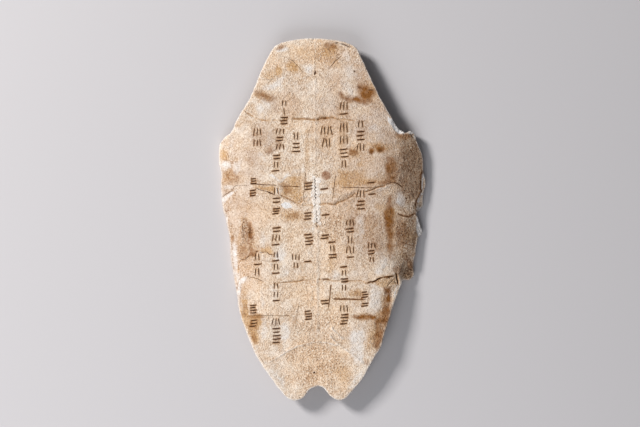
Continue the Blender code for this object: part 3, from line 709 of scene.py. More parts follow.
brown = {
    "softness": 0.8, "ragged": 0.5, "raggedEdge": 0.7,
    "spots": (
        (10.9, 67.8, 1.4, 3, 0.78, 30), (17.9, 66, 3.4, 1.3, 0.5, 10), (4.5, 95.6, 4.2, 1.8, 0.78, -8),
        (-29.5, 37.3, 2.8, 2.3, 0.68, 20), (-14.9, 1.4, 1.9, 1.9, 0.62), (-18.3, 1.6, 1.7, 1.5, 0.5),
        (-16.5, 0.2, 3.2, 1, 0.45, -10), (27, 36.9, 1.3, 1.9, 1.1), (32, 38, 2.2, 1.7, 1.25),
        (33.2, 38.8, 1.6, 1, 0.95), (29.6, 39.8, 5.4, 1.5, 0.45), (36.2, 26.8, 0.8, 2.2, 0.85),
        (38.4, 22.3, 1.3, 1.2, 0.9), (36.9, 0.6, 2.6, 6.8, 0.8), (37.2, -9.6, 2, 8.6, 0.85),
        (39.8, -19.7, 1.2, 1.6, 0.6), (-39.7, -7.6, 1.3, 4.6, 0.85, 4), (-41.1, -12.2, 1.4, 2.4, 0.5),
        (-49.5, -11.3, 0.9, 2.2, 0.6, 6), (-37.3, -65.3, 1.2, 3.6, 0.72, 14), (19.7, -41.5, 4, 1.6, 0.5),
        (-9.4, 54.9, 3.8, 0.7, 0.6), (2.5, 55.3, 4.4, 0.7, 0.8, 3), (45.1, 45.4, 4.8, 1.8, 0.6, -6),
        (47.3, -31.6, 3.4, 2.2, 0.38), (48.9, -26.1, 1.6, 3, 0.7), (-7.2, -60.9, 1.6, 1.2, 0.35, 20),
        (-23.1, 94.6, 3, 1.2, 0.75, 24), (17.7, 91.7, 0.9, 0.8, 0.6, 30), (24.1, -78.9, 1.4, 1.8, 0.5),
        (41.4, -6.7, 1, 1.6, 0.6), (46.5, -21.7, 1.4, 2.2, 0.6), (32.8, 19.5, 4.2, 1.3, 0.75, 6),
        (-36.1, 43.2, 4, 5.4, 0.24), (-30.5, 66.2, 3.2, 1.5, 0.75, -24), (16.5, 65.4, 4.8, 1.3, 0.52, 6),
        (36.4, -42.9, 1.4, 4.4, 1.1), (37.6, -17.2, 1.7, 5.4, 0.66), (-23, 41.8, 2.4, 5.4, 0.3),
        (11.4, 44.2, 1.8, 8, 0.34), (2.5, 43.2, 2.2, 5, 0.34), (15.7, -2.3, 2.2, 2.4, 0.36),
        (27.6, -14.2, 2.6, 2, 0.36), (-25.2, -57.1, 2, 3.4, 0.36), (-36.7, -52.8, 3, 0.8, 0.6),
        (-16.5, -48.8, 2.4, 1.6, 0.3, 20), (-36.5, -54, 4, 1.1, 0.8), (14.9, 12.1, 3.4, 1.2, 0.5, 28),
        (-20.6, 11.5, 1.4, 0.8, 0.5, -30), (13.4, -88.5, 2, 2.4, 0.25), (42.8, -8, 4.2, 9, 0.5),
        (41.2, -28.6, 2.6, 3, 0.6),
    ),
    "patches": (
        (3.4, 1.1, ((19.9, 73.5), (23.9, 73.5), (28.6, 71.5), (28.4, 68.6), (26.6, 65), (23.9, 62.8),
            (20.3, 64), (20.7, 68.6))),
        (3, 1.12, ((9, 69.6), (12, 67.6), (15.3, 66.8), (20.9, 67.4), (21.3, 63.8), (15.3, 64.6),
            (11, 65.4))),
        (3.2, 0.72, ((-37.1, 70.8), (-33.1, 70.4), (-27.8, 68.4), (-24.8, 65.8), (-28.8, 64.2),
            (-33.3, 65.4), (-37.7, 67.8))),
        (2.2, 0.4, ((-54.9, 26), (-50.8, 27.1), (-46.7, 25.2), (-45.1, 22), (-46.5, 19.8), (-51.2, 19.3),
            (-54.9, 20.2))),
        (1.8, 0.6, ((-23.6, 19.2), (-18.3, 19), (-15.9, 17.1), (-16.9, 13.1), (-20.3, 12.3),
            (-21.8, 14.9))),
        (0.9, 0.74, ((14.6, 38.2), (19.3, 38), (19.9, 34.9), (16.9, 34.1), (14.6, 34.7))),
        (1.2, 0.72, ((35.1, 34.1), (38.9, 34.2), (41.1, 29.6), (41.5, 24.5), (40.7, 19.5), (35.9, 18.7),
            (33.8, 20.9), (34.9, 25.4), (34.5, 29.6))),
        (1.6, 0.82, ((37.9, 14), (38.9, 8), (39.3, 3.3), (38.8, -3.3), (38.6, -10.2), (38.2, -18.5),
            (35.6, -17.2), (34.6, -8.2), (33.6, -1.9), (33.6, 4.2), (35.3, 8), (36.5, 11.6))),
        (2.2, 0.5, ((42.2, -1.3), (44.2, -2.2), (43.8, -7.2), (41.8, -10.2), (40.6, -6.2))),
        (1.6, 0.28, fibrousLens),
        (1.2, 0.36, ((-46.2, -14.7), (-43.1, -13.7), (-41.3, -16.1), (-40.3, -20.3), (-42.6, -22.5),
            (-44.8, -23.5), (-46.4, -21.1))),
        (0.6, 0.64, ((-40.3, -16.1), (-38.5, -16), (-35.5, -17.9), (-35.3, -18.7), (-37.3, -20.5),
            (-40.5, -20.5))),
        (1.1, 0.7, ((33, -37.6), (37.8, -36.6), (38.2, -45.9), (37.7, -51.8), (35.8, -57.4), (34.2, -61.7),
            (32.8, -66.3), (31.2, -71), (29.6, -73.4), (27.8, -70.6), (27.4, -65.7), (28.8, -60.7),
            (28.6, -56.7), (30.6, -53.8), (32.6, -49.8), (33.6, -43.9))),
        (1, 0.88, ((16.3, -53.2), (19.3, -53.6), (23.3, -52.6), (29.8, -53), (30.2, -55.4), (23.3, -55.6),
            (18.9, -55.7), (16.9, -54.8))),
        (1.2, 0.46, ((-44.7, -45), (-41.3, -45), (-40.9, -51.4), (-42.3, -56.8), (-44.1, -53.8))),
        (1.2, 0.4, ((-42.5, -53.2), (-33.1, -53), (-32.9, -55.8), (-34.7, -58.7), (-36.1, -62.7),
            (-36.5, -67.3), (-38.3, -66.9), (-40.1, -62.7), (-42.3, -57.8))),
    ),
}
darkBrown = {
    "softness": 0.5, "ragged": 0.35, "raggedEdge": 0.4,
    "spots": (
        (27, 36.6, 0.9, 1.3, 0.62), (31.8, 37.3, 1.2, 1, 0.7), (17.7, 81.3, 0.7, 0.7, 1.15),
        (-39.7, -7.2, 0.8, 2.8, 0.5, 4), (37.1, 1.3, 0.7, 3, 0.4), (33.4, -55.8, 1.2, 4, 0.35, -16),
        (24.3, 68.6, 2.2, 2.6, 0.42), (26.4, 70.9, 2.2, 0.6, 0.7, -4), (20.7, 72.1, 1.7, 0.6, 0.62, -28),
        (-34.7, 69.4, 1.8, 1, 0.22, -10), (-30.1, 66.8, 2.2, 1.1, 0.24, -24), (49.6, -26.5, 0.8, 1.6, 0.7),
        (37.7, 24.9, 1.6, 2.8, 0.34), (36.1, 27, 0.6, 1.8, 0.5), (39, 22.1, 1, 1, 0.6),
        (38.3, 31, 1.7, 1.6, 0.26), (-38.7, 52.5, 0.4, 0.4, 0.5), (-34.1, 38.1, 0.5, 0.4, 0.5),
        (-21.1, -72.6, 0.5, 0.4, 0.6), (-33.1, 61, 0.5, 0.4, 0.5), (-30.4, 74.2, 0.5, 0.4, 0.5),
        (-31.4, 77.1, 0.8, 0.4, 0.4, -30), (3.7, 77.3, 0.4, 0.4, 0.5), (26.6, -65.9, 0.5, 0.8, 0.6),
        (-36.1, -18.3, 0.9, 0.5, 0.8),
    ),
    "patches": (
        (0.4, 0.95, ((7.1, 97.7), (11.8, 96.7), (15.6, 94.9), (15.3, 94.3), (11.6, 95.9), (7.1, 97))),
    ),
}
ochre = {
    "softness": 0.8, "ragged": 0.6, "raggedEdge": 0.9,
    "spots": (
        (3.5, 92.6, 6.6, 4.8, 1), (-5.4, 91.3, 14, 4.6, 0.55), (26.2, -8.3, 7, 11, 0.6),
        (11.4, -87.5, 6, 7, 0.5), (-40.7, 6.1, 2.4, 3.8, 0.6), (-24.2, 81.1, 2.2, 3, 1.5, -10),
        (-27.8, 79.5, 6.4, 3.2, 0.75, 20), (-15.9, 83.3, 4.8, 2.6, 1.15, -20), (-13.4, 95, 8, 2, 0.4),
        (-54.4, 34.7, 2.2, 3.6, 1.05), (-50.2, 23.1, 5.4, 4.2, 0.85), (-16.3, 1.4, 5, 3.4, 0.85),
        (20.7, 29.5, 2.4, 1.7, 0.85), (26, 31.4, 9, 5, 0.25), (47, -9.6, 4.4, 7, 0.8),
        (30.6, 39.2, 7, 3, 0.85), (16.9, 36.1, 3.6, 2.9, 0.7), (37.7, 26.4, 3.6, 7.4, 0.8),
        (37.6, -3.3, 3.4, 14, 0.7), (37.3, 3.3, 3.6, 3, 1.2), (-30.7, -17.2, 4, 1.8, 1, -14),
        (-33.1, -35, 3, 1.2, 0.5, -20), (-37.1, -32.8, 3.6, 0.8, 0.75, -12), (-40.7, -26.5, 4.4, 5, 0.35),
        (-43.1, -40, 2.4, 4.6, 0.55), (18.3, -41.3, 7, 2.2, 0.85), (8, -42.1, 3.6, 1.6, 0.65),
        (31.2, -57.7, 5, 15, 0.85, -18), (23.3, -54.2, 8, 2.2, 0.75), (25.8, -69.2, 1.8, 8, 0.65, 4),
        (4.9, -26.5, 2.4, 4, 0.65), (-2.5, -82.5, 12, 11, 0.3), (11.5, -87, 6, 7, 0.6),
        (-5.4, -61.7, 6, 6, 0.35), (5.5, -49.8, 5, 9, 0.3), (-17.3, -39.9, 5, 5, 0.35),
        (-8.4, 37.2, 1.5, 12, 0.6), (11.2, 45.2, 3.2, 9.4, 0.5), (2.5, 45.2, 3.2, 6.4, 0.45),
        (-23, 42.2, 3.2, 6.4, 0.4), (46.1, 45, 5.2, 2.8, 0.65), (45.2, -10.2, 5, 12, 0.5),
        (-3.4, 48.1, 7, 3, 0.35), (-30.1, 3.6, 8, 4, 0.35), (32.2, 75, 2, 7, 0.5, 25),
        (25.2, 69.4, 6, 5.8, 0.75), (-32.1, 67.6, 7, 3.2, 0.65, -18), (8.4, -3.3, 6, 5, 0.4),
        (14.9, -3.3, 3, 4, 0.45), (47.3, -31, 4, 3, 0.7), (35.1, 13.5, 3, 3, 0.5),
        (-46.1, 40.4, 3.4, 4, 0.35), (-39.1, 33.4, 2, 10, 0.3), (-49.6, -11.1, 1.6, 3.6, 0.7, 6),
        (-46.2, 5.7, 5, 3, 0.3), (-11.4, -40.9, 4, 5, 0.35), (11.4, -30, 3, 3.4, 0.5),
        (-41.4, 52.6, 3, 2, 0.4, 20), (13.4, 54.1, 6, 1.2, 0.4), (12.6, 20, 6.5, 4.6, 1),
        (33, 6.5, 4, 5, 0.75), (-37.2, -64.5, 1.7, 5, 1.1, 14), (6.5, 86.5, 4, 4, 0.7),
    ),
    "patches": (
        (0.6, 0.95, ((-38.7, 18.1), (-25.8, 17.5), (-25.6, 14.5), (-28.2, 14.5), (-34.1, 15.9),
            (-37.5, 16.9))),
        (0.8, 0.85, fan),
        (2.6, 0.9, ((8.8, 26.4), (23.3, 26.8), (26.2, 22.8), (36.1, 21.9), (35.1, 19.1), (28.2, 17.7),
            (9, 17.7))),
        (1.4, 0.6, ((-44.5, 1.3), (-40.1, 0.5), (-37.7, -5.3), (-36.9, -11.2), (-37.5, -14.2),
            (-34.7, -18.1), (-37.1, -20.9), (-42.1, -23.1), (-47, -24.5), (-47, -14.1), (-45.2, -5.2))),
        (1, 1.2, ((-44.9, -44.4), (-41.3, -44.9), (-40.3, -51.4), (-40.7, -56.8), (-43.7, -56.8),
            (-45.4, -51.8))),
        (1, 1.15, ((-43.1, -53), (-32.9, -52.8), (-32.5, -56.3), (-33.9, -59.3), (-35.7, -62.7),
            (-36.3, -67.7), (-38.3, -67.3), (-40.5, -62.7), (-43.1, -56.8))),
        (0.8, 0.85, ((26.8, -35.8), (30.6, -34.4), (35.2, -32.9), (39.6, -32.6), (40.2, -35.6),
            (37.8, -36.8), (34.8, -37.8), (30.2, -37))),
    ),
}
pale = {
    "softness": 0.8, "ragged": 0.6, "raggedEdge": 0.9,
    "spots": (
        (-9, 82.9, 4, 3.4, 0.6), (-27.7, -56.2, 2.6, 3.6, 0.8), (-26.2, 61, 3.8, 3.2, 0.25),
        (32.8, 55.5, 6, 3.2, 0.5, 20), (14, 84.9, 5, 4.6, 0.55), (16.3, 70.9, 4, 5.4, 0.5),
        (-51.8, 17.2, 3.4, 1.4, 0.8), (42.2, 10.6, 2.8, 3.8, 0.7), (-44.1, 16.4, 6, 0.8, 0.6, 8),
        (19.9, -10.2, 2.4, 11, 0.6), (33.6, -24.3, 3.4, 5, 0.4), (12.2, -13.4, 1.8, 3.8, 0.4),
        (-32.3, -12.4, 2.4, 3.8, 0.7), (-22.8, -17.8, 3.2, 3.6, 0.85), (-26.2, -43.5, 6.4, 7.4, 0.6),
        (-24.2, -60.7, 7.2, 5.4, 0.9), (27.6, -43.7, 4.2, 7, 1), (19.5, -67, 3.4, 9, 0.9, -4),
        (10.2, -33, 3.4, 2.4, 0.7), (-20.3, -28.6, 4.6, 3.2, 0.6), (-2.5, -30, 1, 22, 0.7),
        (29.2, 47.1, 6, 4.4, 0.4), (-25, -87.1, 3, 8.6, 0.9, 32), (18.7, -87.5, 2.6, 8.4, 0.8, -34),
        (13.4, 39.6, 3.2, 2.6, 0.5), (-53.7, -0.3, 1.1, 2.8, 1.5, 10), (54.8, -1.1, 1.7, 8.6, 1.4),
        (41.7, 50.6, 1.3, 5.2, 1.5, 32), (50.6, 46.3, 1, 3.6, 1.4, 40), (-40.1, 51.2, 5, 3.2, 0.45),
        (-33.1, 29.4, 7, 6.6, 0.4), (1.5, 67, 9, 8.6, 0.4), (30.2, 33.3, 4, 4, 0.3),
        (7.4, 33.3, 3.4, 6, 0.5), (-16.3, 43.2, 8, 3, 0.3), (-8.4, -49.8, 6, 7, 0.5),
        (5.5, -39.9, 4, 4, 0.45), (1.5, 13.5, 4, 5, 0.5), (-22.2, 74.9, 8, 4, 0.6, 30),
        (32.6, 10.6, 2.8, 3.8, 0.4), (-20.3, 33.3, 5, 5, 0.4), (-40.1, 10.6, 8, 3, 0.35),
        (-46.6, -32.6, 0.8, 2.6, 1, 8),
    ),
}
white = {  # bluish white, where the hard outer skin is freshly broken or bleached; the thin strips along the right edge are also painted highlights
    "softness": 0.7, "ragged": 0.45, "raggedEdge": 0.5,
    "spots": (
        (-32.1, 61.4, 5.2, 5, 0.58, -20), (-22.3, 93.2, 3, 1.1, 0.8, 14), (-7, 82.5, 3.2, 3.2, 0.6),
        (-53.2, 29.9, 2.7, 2.1, 0.75), (-47.1, 28.6, 2, 4.4, 0.55), (-52.4, 17.2, 2.4, 1.4, 0.6),
        (-25.1, 15.5, 0.4, 2.2, 0.9, 3), (-23.4, 15.5, 0.4, 2.2, 0.9, -3), (13, 89.3, 3, 3.6, 0.55),
        (15.6, 69.8, 2, 2.6, 0.42), (13.4, 75.9, 3.4, 9, 0.42, -12), (48.8, 47.3, 1.5, 0.7, 1.2, -10),
        (51.2, 45.1, 1.6, 0.9, 1, -50), (43.4, 10, 2.3, 4.2, 0.72, 8), (32.6, 11, 2.6, 3.4, 0.2),
        (12.2, -13.6, 2, 3.8, 0.22), (21.3, -6.3, 1.6, 8, 0.45), (29.2, -43.9, 4, 7.4, 0.5),
        (-20.6, -61.7, 2.6, 7.4, 0.6), (-32.1, -59.7, 2.4, 7.4, 0.5), (-25.6, -86.5, 2.2, 8.6, 0.45, 34),
        (19.1, -87.9, 1.8, 7, 0.5, -36), (54.8, -4.7, 1.1, 4.6, 1.3, -8), (53.2, 5.1, 1.3, 3.2, 0.9, 10),
        (40, -40.9, 0.5, 5.2, 0.9, -16), (-53.4, -0.7, 0.9, 2.8, 1.3, 8), (-51.8, -11.1, 0.4, 6.6, 0.9, 4),
        (-33.1, -11.8, 1.9, 4.2, 0.5), (-22.6, -21.1, 2.6, 5.8, 0.68), (-33.1, -43.9, 1.4, 7.4, 0.45, 4),
        (-20.3, -30, 3.4, 2.6, 0.45), (-27.2, -40.9, 3.4, 6, 0.35), (-33.5, 33.3, 2.4, 4, 0.35),
        (2.1, 25.6, 1.2, 0.9, 0.8), (-28.2, 44.2, 2.4, 4, 0.35), (7.4, -31, 3, 3, 0.45),
        (-51, 43, 3.2, 4, 0.4), (-46.6, -35, 1.6, 7, 0.5, 4), (-14.3, 26, 5, 1.6, 0.5, 10),
        (-44.1, -48.3, 0.7, 4, 0.4, 6), (27, 51.1, 3.4, 3, 0.4),
    ),
    "patches": (
        (0.6, 0.85, ((-56.3, 8.5), (-56.7, 11.3), (-53.7, 12.7), (-50.6, 14.5), (-47.1, 16.3),
            (-47.6, 15.3), (-50.4, 12.6), (-52.9, 10), (-54.7, 8.1))),
        (0.3, 1.3, ((-22.4, 7.8), (-20.6, 8.7), (-18.3, 8.4), (-16.7, 6.6), (-17.1, 5.9), (-18.7, 6.1),
            (-20.1, 5.6), (-21.8, 6.6))),
        (1.2, 0.64, ((-49.9, -12.1), (-48.2, -10.7), (-47, -16.1), (-46.7, -24.1), (-46.2, -31),
            (-48.9, -31), (-49.9, -22.1))),
        (1.2, 0.74, ((-47, -37), (-46, -33.4), (-43.6, -31.9), (-41.6, -32.5), (-43.2, -35.2), (-45, -38.2),
            (-45, -45.9), (-46.4, -48))),
        # thin strips of broken bone along the right edge, whitened further as painted highlights on their
        # lit splinter edges
        (0.3, 1.3, ((55.6, 26.2), (56.2, 25.4), (55.9, 20.8), (55.6, 15.5), (54.8, 15.2), (54.8, 19.8),
            (55.2, 23.8))),
        (0.3, 1.3, ((54.6, 14.6), (55.4, 14.1), (53.9, 11), (53.1, 8.2), (52.2, 8.4), (52.5, 10),
            (53.6, 12.4))),
        (0.4, 1.1, ((52.1, 2.5), (53.4, 0.7), (54.6, -3.5), (56.1, -8), (54.7, -9.9), (53, -9.9),
            (52.2, -6.1), (51.9, -2.1))),
        (2.2, 0.62, ((-18.9, 78.7), (-22.3, 78.7), (-26.2, 75.3), (-33.7, 71.2), (-31.5, 69.8),
            (-26.2, 70.5), (-22.2, 74.5))),
        (0.5, 0.7, ((-29.5, 24.8), (-27.2, 24), (-23, 20.8), (-21, 23), (-18.5, 25.6), (-17.7, 25),
            (-21.6, 20.2), (-23.2, 19.8), (-29.3, 23.6))),
        (0.7, 1.25, ((35.7, 56.5), (38.1, 54.9), (41.7, 50.2), (45.7, 47.7), (45.5, 46.8), (42.5, 46.7),
            (39.5, 49.2), (36.1, 53.5))),
        (1.2, 0.5, ((31.6, -21.5), (33.8, -19.7), (35.4, -21.7), (36.2, -27.1), (34.6, -30.2),
            (30.2, -30.8), (28.8, -29), (31.8, -26.5))),
        (1.8, 0.62, ((15.1, -61.6), (22.6, -60.8), (23.6, -63.7), (22.9, -71.6), (23.3, -79.5),
            (17.9, -80.5), (15, -73.6), (14.4, -64.7))),
    ),
}
wingDirtAndShade = {  # grey-brown dirt on the right wing, and painted shade where the wing bends away
    "softness": 0.62, "ragged": 0.45, "raggedEdge": 0.9,
    "spots": (
        (50.7, 27.7, 9.4, 20, 1.1), (49, -8.1, 7, 15, 0.7), (46.7, -26.1, 4.4, 5, 0.8),
        (44.2, -21.1, 4, 7, 0.7),
    ),
}
peach = {
    "softness": 0.9, "ragged": 0.5, "raggedEdge": 0.9,
    "spots": (
        (-2.5, -79.5, 16, 15, 1.2), (11, -86, 6, 8, 1.2), (26, 31, 9, 6, 0.5), (8, 74, 6, 8, 0.7),
        (-6.4, -45.9, 10, 14, 1.1), (7.4, -55.7, 8, 10, 1), (-32.1, 1.6, 14, 8, 0.8),
        (-41.1, -27.1, 5, 5, 0.8), (-14.3, -10.2, 7, 12, 0.6), (5.5, 3.6, 12, 8, 0.7),
        (-27.2, 86.9, 5, 6, 0.8), (-14.3, 51.1, 10, 3, 0.7), (4.5, 51, 9, 9, 1.1), (-36.1, -38, 5, 5, 0.6),
        (33.2, -34, 5, 3, 0.9, 20), (-46.1, 9.7, 7, 5, 0.3), (-30.1, -18.2, 4, 3, 0.6), (-1, 91, 15, 9, 1),
        (13, 19.5, 8, 5.5, 1.3), (-18, 62, 7, 7, 0.8), (14, 38, 9, 8, 1.1), (6, -18, 10, 14, 0.9),
        (-30, -48, 8, 11, 0.8), (42, -8, 5, 10, 1.3),
    ),
}
paintedShade = {  # painted shade, darkening the right half and the left edge
    "softness": 0.98, "ragged": 0.3, "raggedEdge": 0.9,
    "spots": (
        (24.2, 11.5, 20, 46, 0.8), (13.4, 80.9, 12, 16, 0.6), (25.2, -53.8, 12, 20, 0.5, -14),
        (27.2, -8.3, 8, 14, 1.4), (33.2, 55.1, 7, 6, 0.9), (-32.1, 44.2, 9, 8, 0.9),
        (-46.2, -4.2, 15, 44, 0.85), (34.2, 29.4, 13, 15, 1), (38.2, -6.2, 8, 16, 0.9),
        (42.2, 10.6, 4, 5, 1.3), (8.4, 74.9, 6, 8, 0.9), (-12, 69, 9, 9, 0.4), (-25.6, 61.4, 5, 5, 0.9),
        (-49.3, -22.1, 3, 14, 1.2), (-53.3, 12.8, 3.6, 6, 1.1), (-46.8, -40, 3, 9, 1.1),
        (7, 57, 14, 17, 0.8), (20.5, 78, 6, 13, 1, 20), (24, 50, 10, 10, 1.05), (36, 45, 8, 7, 1.2),
        (-18.5, 62, 8, 9, 0.8), (-38, 33, 6.5, 8, 1), (20, -1, 7, 9, 1.05), (6, 88, 8, 7, 0.7),
        (-40, 25, 8, 4.5, 0.95), (30, 59, 6, 7, 1.15, 20),
    ),
}
dot = {  # the round stain beside the filling
    "softness": 0.12, "ragged": 0.08, "raggedEdge": 0.2,
    "spots": ((2, 23.6, 2.6, 2.6, 1),),
}
colours = {
    "brown": brown, "darkBrown": darkBrown, "ochre": ochre, "pale": pale, "white": white,
    "wingDirtAndShade": wingDirtAndShade, "peach": peach, "paintedShade": paintedShade, "dot": dot,
}


def spotField(x, y, kind, seed):
    # each oval is full inside and falls to 0 across the softness, and each patch across its soft edge, their
    # rims pushed about by noise; the strongest counts
    field = np.zeros(len(x))
    warp = kind["ragged"] * cloud(x, y, 3.2, seed)
    soft = kind["softness"]
    for cx, cy, halfWidth, halfLength, strength, *turn in kind["spots"]:
        away = ovalAway(x, y, cx, cy, halfWidth, halfLength, *turn) + warp
        field = np.maximum(field, strength * smoothStep((1 + soft - away) / (2 * soft)))
    for soft, strength, corners in kind.get("patches", ()):
        near = nearTo(x, y, corners, soft + 2)
        px, py = x[near], y[near]
        inside = insideOf(px, py, corners) + kind["raggedEdge"] * cloud(px, py, 2.2, seed + 3)
        mottling = 1 + 0.4 * cloud(px, py, 4.0, seed + 5)
        field[near] = np.maximum(field[near], strength * mottling * smoothStep(0.5 + inside / (2 * soft)))
    return field


def pitRelief(x, y):
    # a bowl in each pit, its depth times 1 - away squared; also how much dirt lies in it
    depth, dirt = np.zeros(len(x)), np.zeros(len(x))
    for *oval, deep in pits:
        away = ovalAway(x, y, *oval)
        depth = np.maximum(depth, deep * np.clip(1 - away**2, 0, 1))
        dirt = np.maximum(dirt, smoothStep((1.3 - away) / 0.7))
    return depth, dirt


# --- the back: behind each crack a long gouge, and a drilled hollow on the branch's side ---
hollows = {
    "gouge": (3.4, 8.5, 2.4),  # half width, half length, depth
    "drill": (4.6, 4.6, 2.2),
    "drillOffset": 7.0,
    "bowl": 0.8,  # below 1 for a flatter bottom and steeper sides
    "scorchFrom": 0.6, "scorchTo": 1.5,  # where the scorch is full and where it ends, in hollows' sizes
}
sutures = {  # the toothed joints between the bones, seen only on the back
    "routes": (
        ((-2.6, -90), (-2.6, 62)),
        ((-52, 3), (-20, 5), (-2.6, 2), (18, 4), (53, 1)),
        ((-44, -45), (-20, -40), (-2.6, -36), (16, -39), (38, -46)),
        ((-40, 64), (-20, 74), (-10, 62), (-2.6, 56), (6, 62), (15, 74), (34, 62)),
        ((-10, 62), (-12, 72), (-2.6, 82), (7, 72), (6, 62)),
        ((-2.6, 82), (-2.6, 98)),
    ),
    "tooth": 1.1, "pitch": 2.6, "halfWidth": 0.5, "depth": 0.3, "ends": 3, "dirt": 0.6,
}


def hollowOvals():
    # centre, half width, half length and depth of each
    ovals = []
    for (x, y), _, _, _, end, _ in cracks:
        ovals.append((x, y, *hollows["gouge"]))
        ovals.append((x + math.copysign(hollows["drillOffset"], end[0] - x), y, *hollows["drill"]))
    return ovals


def hollowRelief(x, y):
    # a bowl, depth times a power of 1 - away squared, in each oval; the scorch fades from its mouth outwards
    depth, scorch = np.zeros(len(x)), np.zeros(len(x))
    fade = hollows["scorchTo"] - hollows["scorchFrom"]
    for *oval, deep in hollowOvals():
        away = ovalAway(x, y, *oval)
        depth = np.maximum(depth, deep * np.clip(1 - away**2, 0, 1) ** hollows["bowl"])
        reach = away + 0.25 * cloud(x, y, 3.0, 101)
        scorch = np.maximum(scorch, smoothStep((hollows["scorchTo"] - reach) / fade))
    return depth, scorch


def zigzag(x, y, tooth, pitch):
    # distance to a triangle wave standing on the y axis, across its slope
    turn = y / pitch
    line = tooth * (4 * np.abs(turn - np.floor(turn + 0.5)) - 1)
    return np.abs(x - line) * pitch / math.hypot(pitch, 4 * tooth)


def sutureRelief(x, y):
    # a groove, 1 - (away / half width)^2, whose away is the distance to a triangle wave along the route
    total = np.zeros(len(x))
    for route in sutures["routes"]:
        path = curveThrough(route, 2.0)
        away, offset, (along,) = besidePath(x, y, path, lengthAlong(path))
        toothed = zigzag(offset, along + swell(x, y, 6.0, 113), sutures["tooth"], sutures["pitch"])
        groove = np.clip(1 - (toothed / sutures["halfWidth"]) ** 2, 0, 1)
        total = np.maximum(total, groove * (away < sutures["ends"]))
    return total


# --- the finished face and back ---
relief = {  # heights in millimetres
    "rolling": 0.12, "unevenness": 0.06,
    "pore": 1.1, "dimple": 0.22,
    "scratch": 0.11, "fibre": 0.14,
    "grain": 0.028, "roughGrain": 2.6, "fillingGrain": 0.4,  # how much rough bone adds and the filling takes
    "roughScratch": 0.13,
    "backRolling": 0.08, "backScrape": 0.03,
}
soiling = {  # how strongly what is cut or worn into the bone is coloured
    "seam": 0.9, "fibreFrom": 0.25, "cutBrown": 1.1, "cutOchre": 0.7, "whiteRidge": 0.4,
    "pore": 0.6, "dimple": 0.27, "pit": 0.62,
    "backBrown": 0.5, "backCoarse": 0.4, "backBare": 0.35,
}


def hatch(x, y, degrees, width, seed):
    # fine scratches in one direction: noise drawn out to eight times its width along it
    along, across = turned(x, y, degrees)
    return cloud(along / 8, across, width, seed, 2)


def scratches(x, y):
    # two crossing directions, each where a broad cloud of its own is high
    rising = hatch(x, y, 47, 1.5, 61) * smoothStep(0.5 + 1.4 * cloud(x, y, 26.0, 63, 1))
    falling = hatch(x, y, -42, 1.5, 65) * smoothStep(0.5 + 1.4 * cloud(x, y, 24.0, 67, 1))
    return rising + falling


def facePoint(x, y, cuts):
    # height of the face, and how much of each colour lies there
    rough = spotField(x, y, coarse, 21)
    spongy = spotField(x, y, porous, 19)
    lens = np.clip(insideOf(x, y, fibrousLens) / 1.6 + 0.5, 0, 1)
    seamHeight, seamDirt, ridge = seamRelief(x, y)
    ledgeHeight, ledgeDirt = ledgeRelief(x, y)
    fillHeight, fill = fillingRelief(x, y)
    bareOfFill = 1 - fill
    depth, dirt, halo = carve(x, y, cuts)
    pitDepth, pitDirt = pitRelief(x, y)
    fibres = hatch(x, y, 86, 0.9, 71)
    holes = pores(x, y, 1.5, 23) * 0.6 + pores(x, y, 0.9, 29) * 0.3
    dimples = pores(x, y, 2.1, 25) * smoothStep(0.2 + cloud(x, y, 11.0, 27))
    grain = relief["grain"] * cloud(x, y, 1.3, 37, 2)

    height = faceHeight(x, y) + relief["rolling"] * cloud(x, y, 15.0, 5)
    height = height + relief["unevenness"] * cloud(x, y, 4.0, 7)
    height = height + (seamHeight + ledgeHeight) * bareOfFill + fillHeight
    height = height - spotField(x, y, chips, 11) - spotField(x, y, flakes, 13)
    height = height - spongy * holes * relief["pore"] - relief["dimple"] * dimples * bareOfFill
    height = height - depth - pitDepth
    height = height + relief["scratch"] * scratches(x, y) * bareOfFill + relief["fibre"] * lens * fibres
    height = height + grain * (1 + relief["roughGrain"] * rough) * (1 - relief["fillingGrain"] * fill)
    height = height + relief["roughScratch"] * rough * hatch(x, y, 76, 2.2, 69)

    tints = {name: spotField(x, y, kind, 200 + 7 * i) for i, (name, kind) in enumerate(colours.items())}
    soil = np.maximum(seamDirt, ledgeDirt) * bareOfFill
    tints["brown"] = np.maximum(tints["brown"], soiling["seam"] * soil) * (1 + 0.5 * lens * fibres)
    tints["brown"] = np.maximum(tints["brown"], soiling["cutBrown"] * halo**5 * bareOfFill)
    tints["darkBrown"] = np.maximum.reduce([tints["darkBrown"], soiling["seam"] * soil * soil,
                                            lens * np.clip(-fibres - soiling["fibreFrom"], 0, 1)])
    tints["ochre"] = np.maximum.reduce([tints["ochre"], soiling["seam"] * smoothStep(2 * soil),
                                        soiling["cutOchre"] * halo * bareOfFill])
    tints["pale"] = np.maximum(tints["pale"], ridge)
    tints["white"] = np.maximum(tints["white"], soiling["whiteRidge"] * ridge)
    tints["fill"] = fill
    tints["dirt"] = np.maximum.reduce([dirt, soiling["pore"] * spongy * holes, soiling["dimple"] * dimples,
                                       soiling["pit"] * pitDirt])
    tints["bare"] = np.clip(spongy, 0, 1)
    tints["coarse"] = rough
    tints["scorch"] = np.zeros(len(x))
    return height, tints


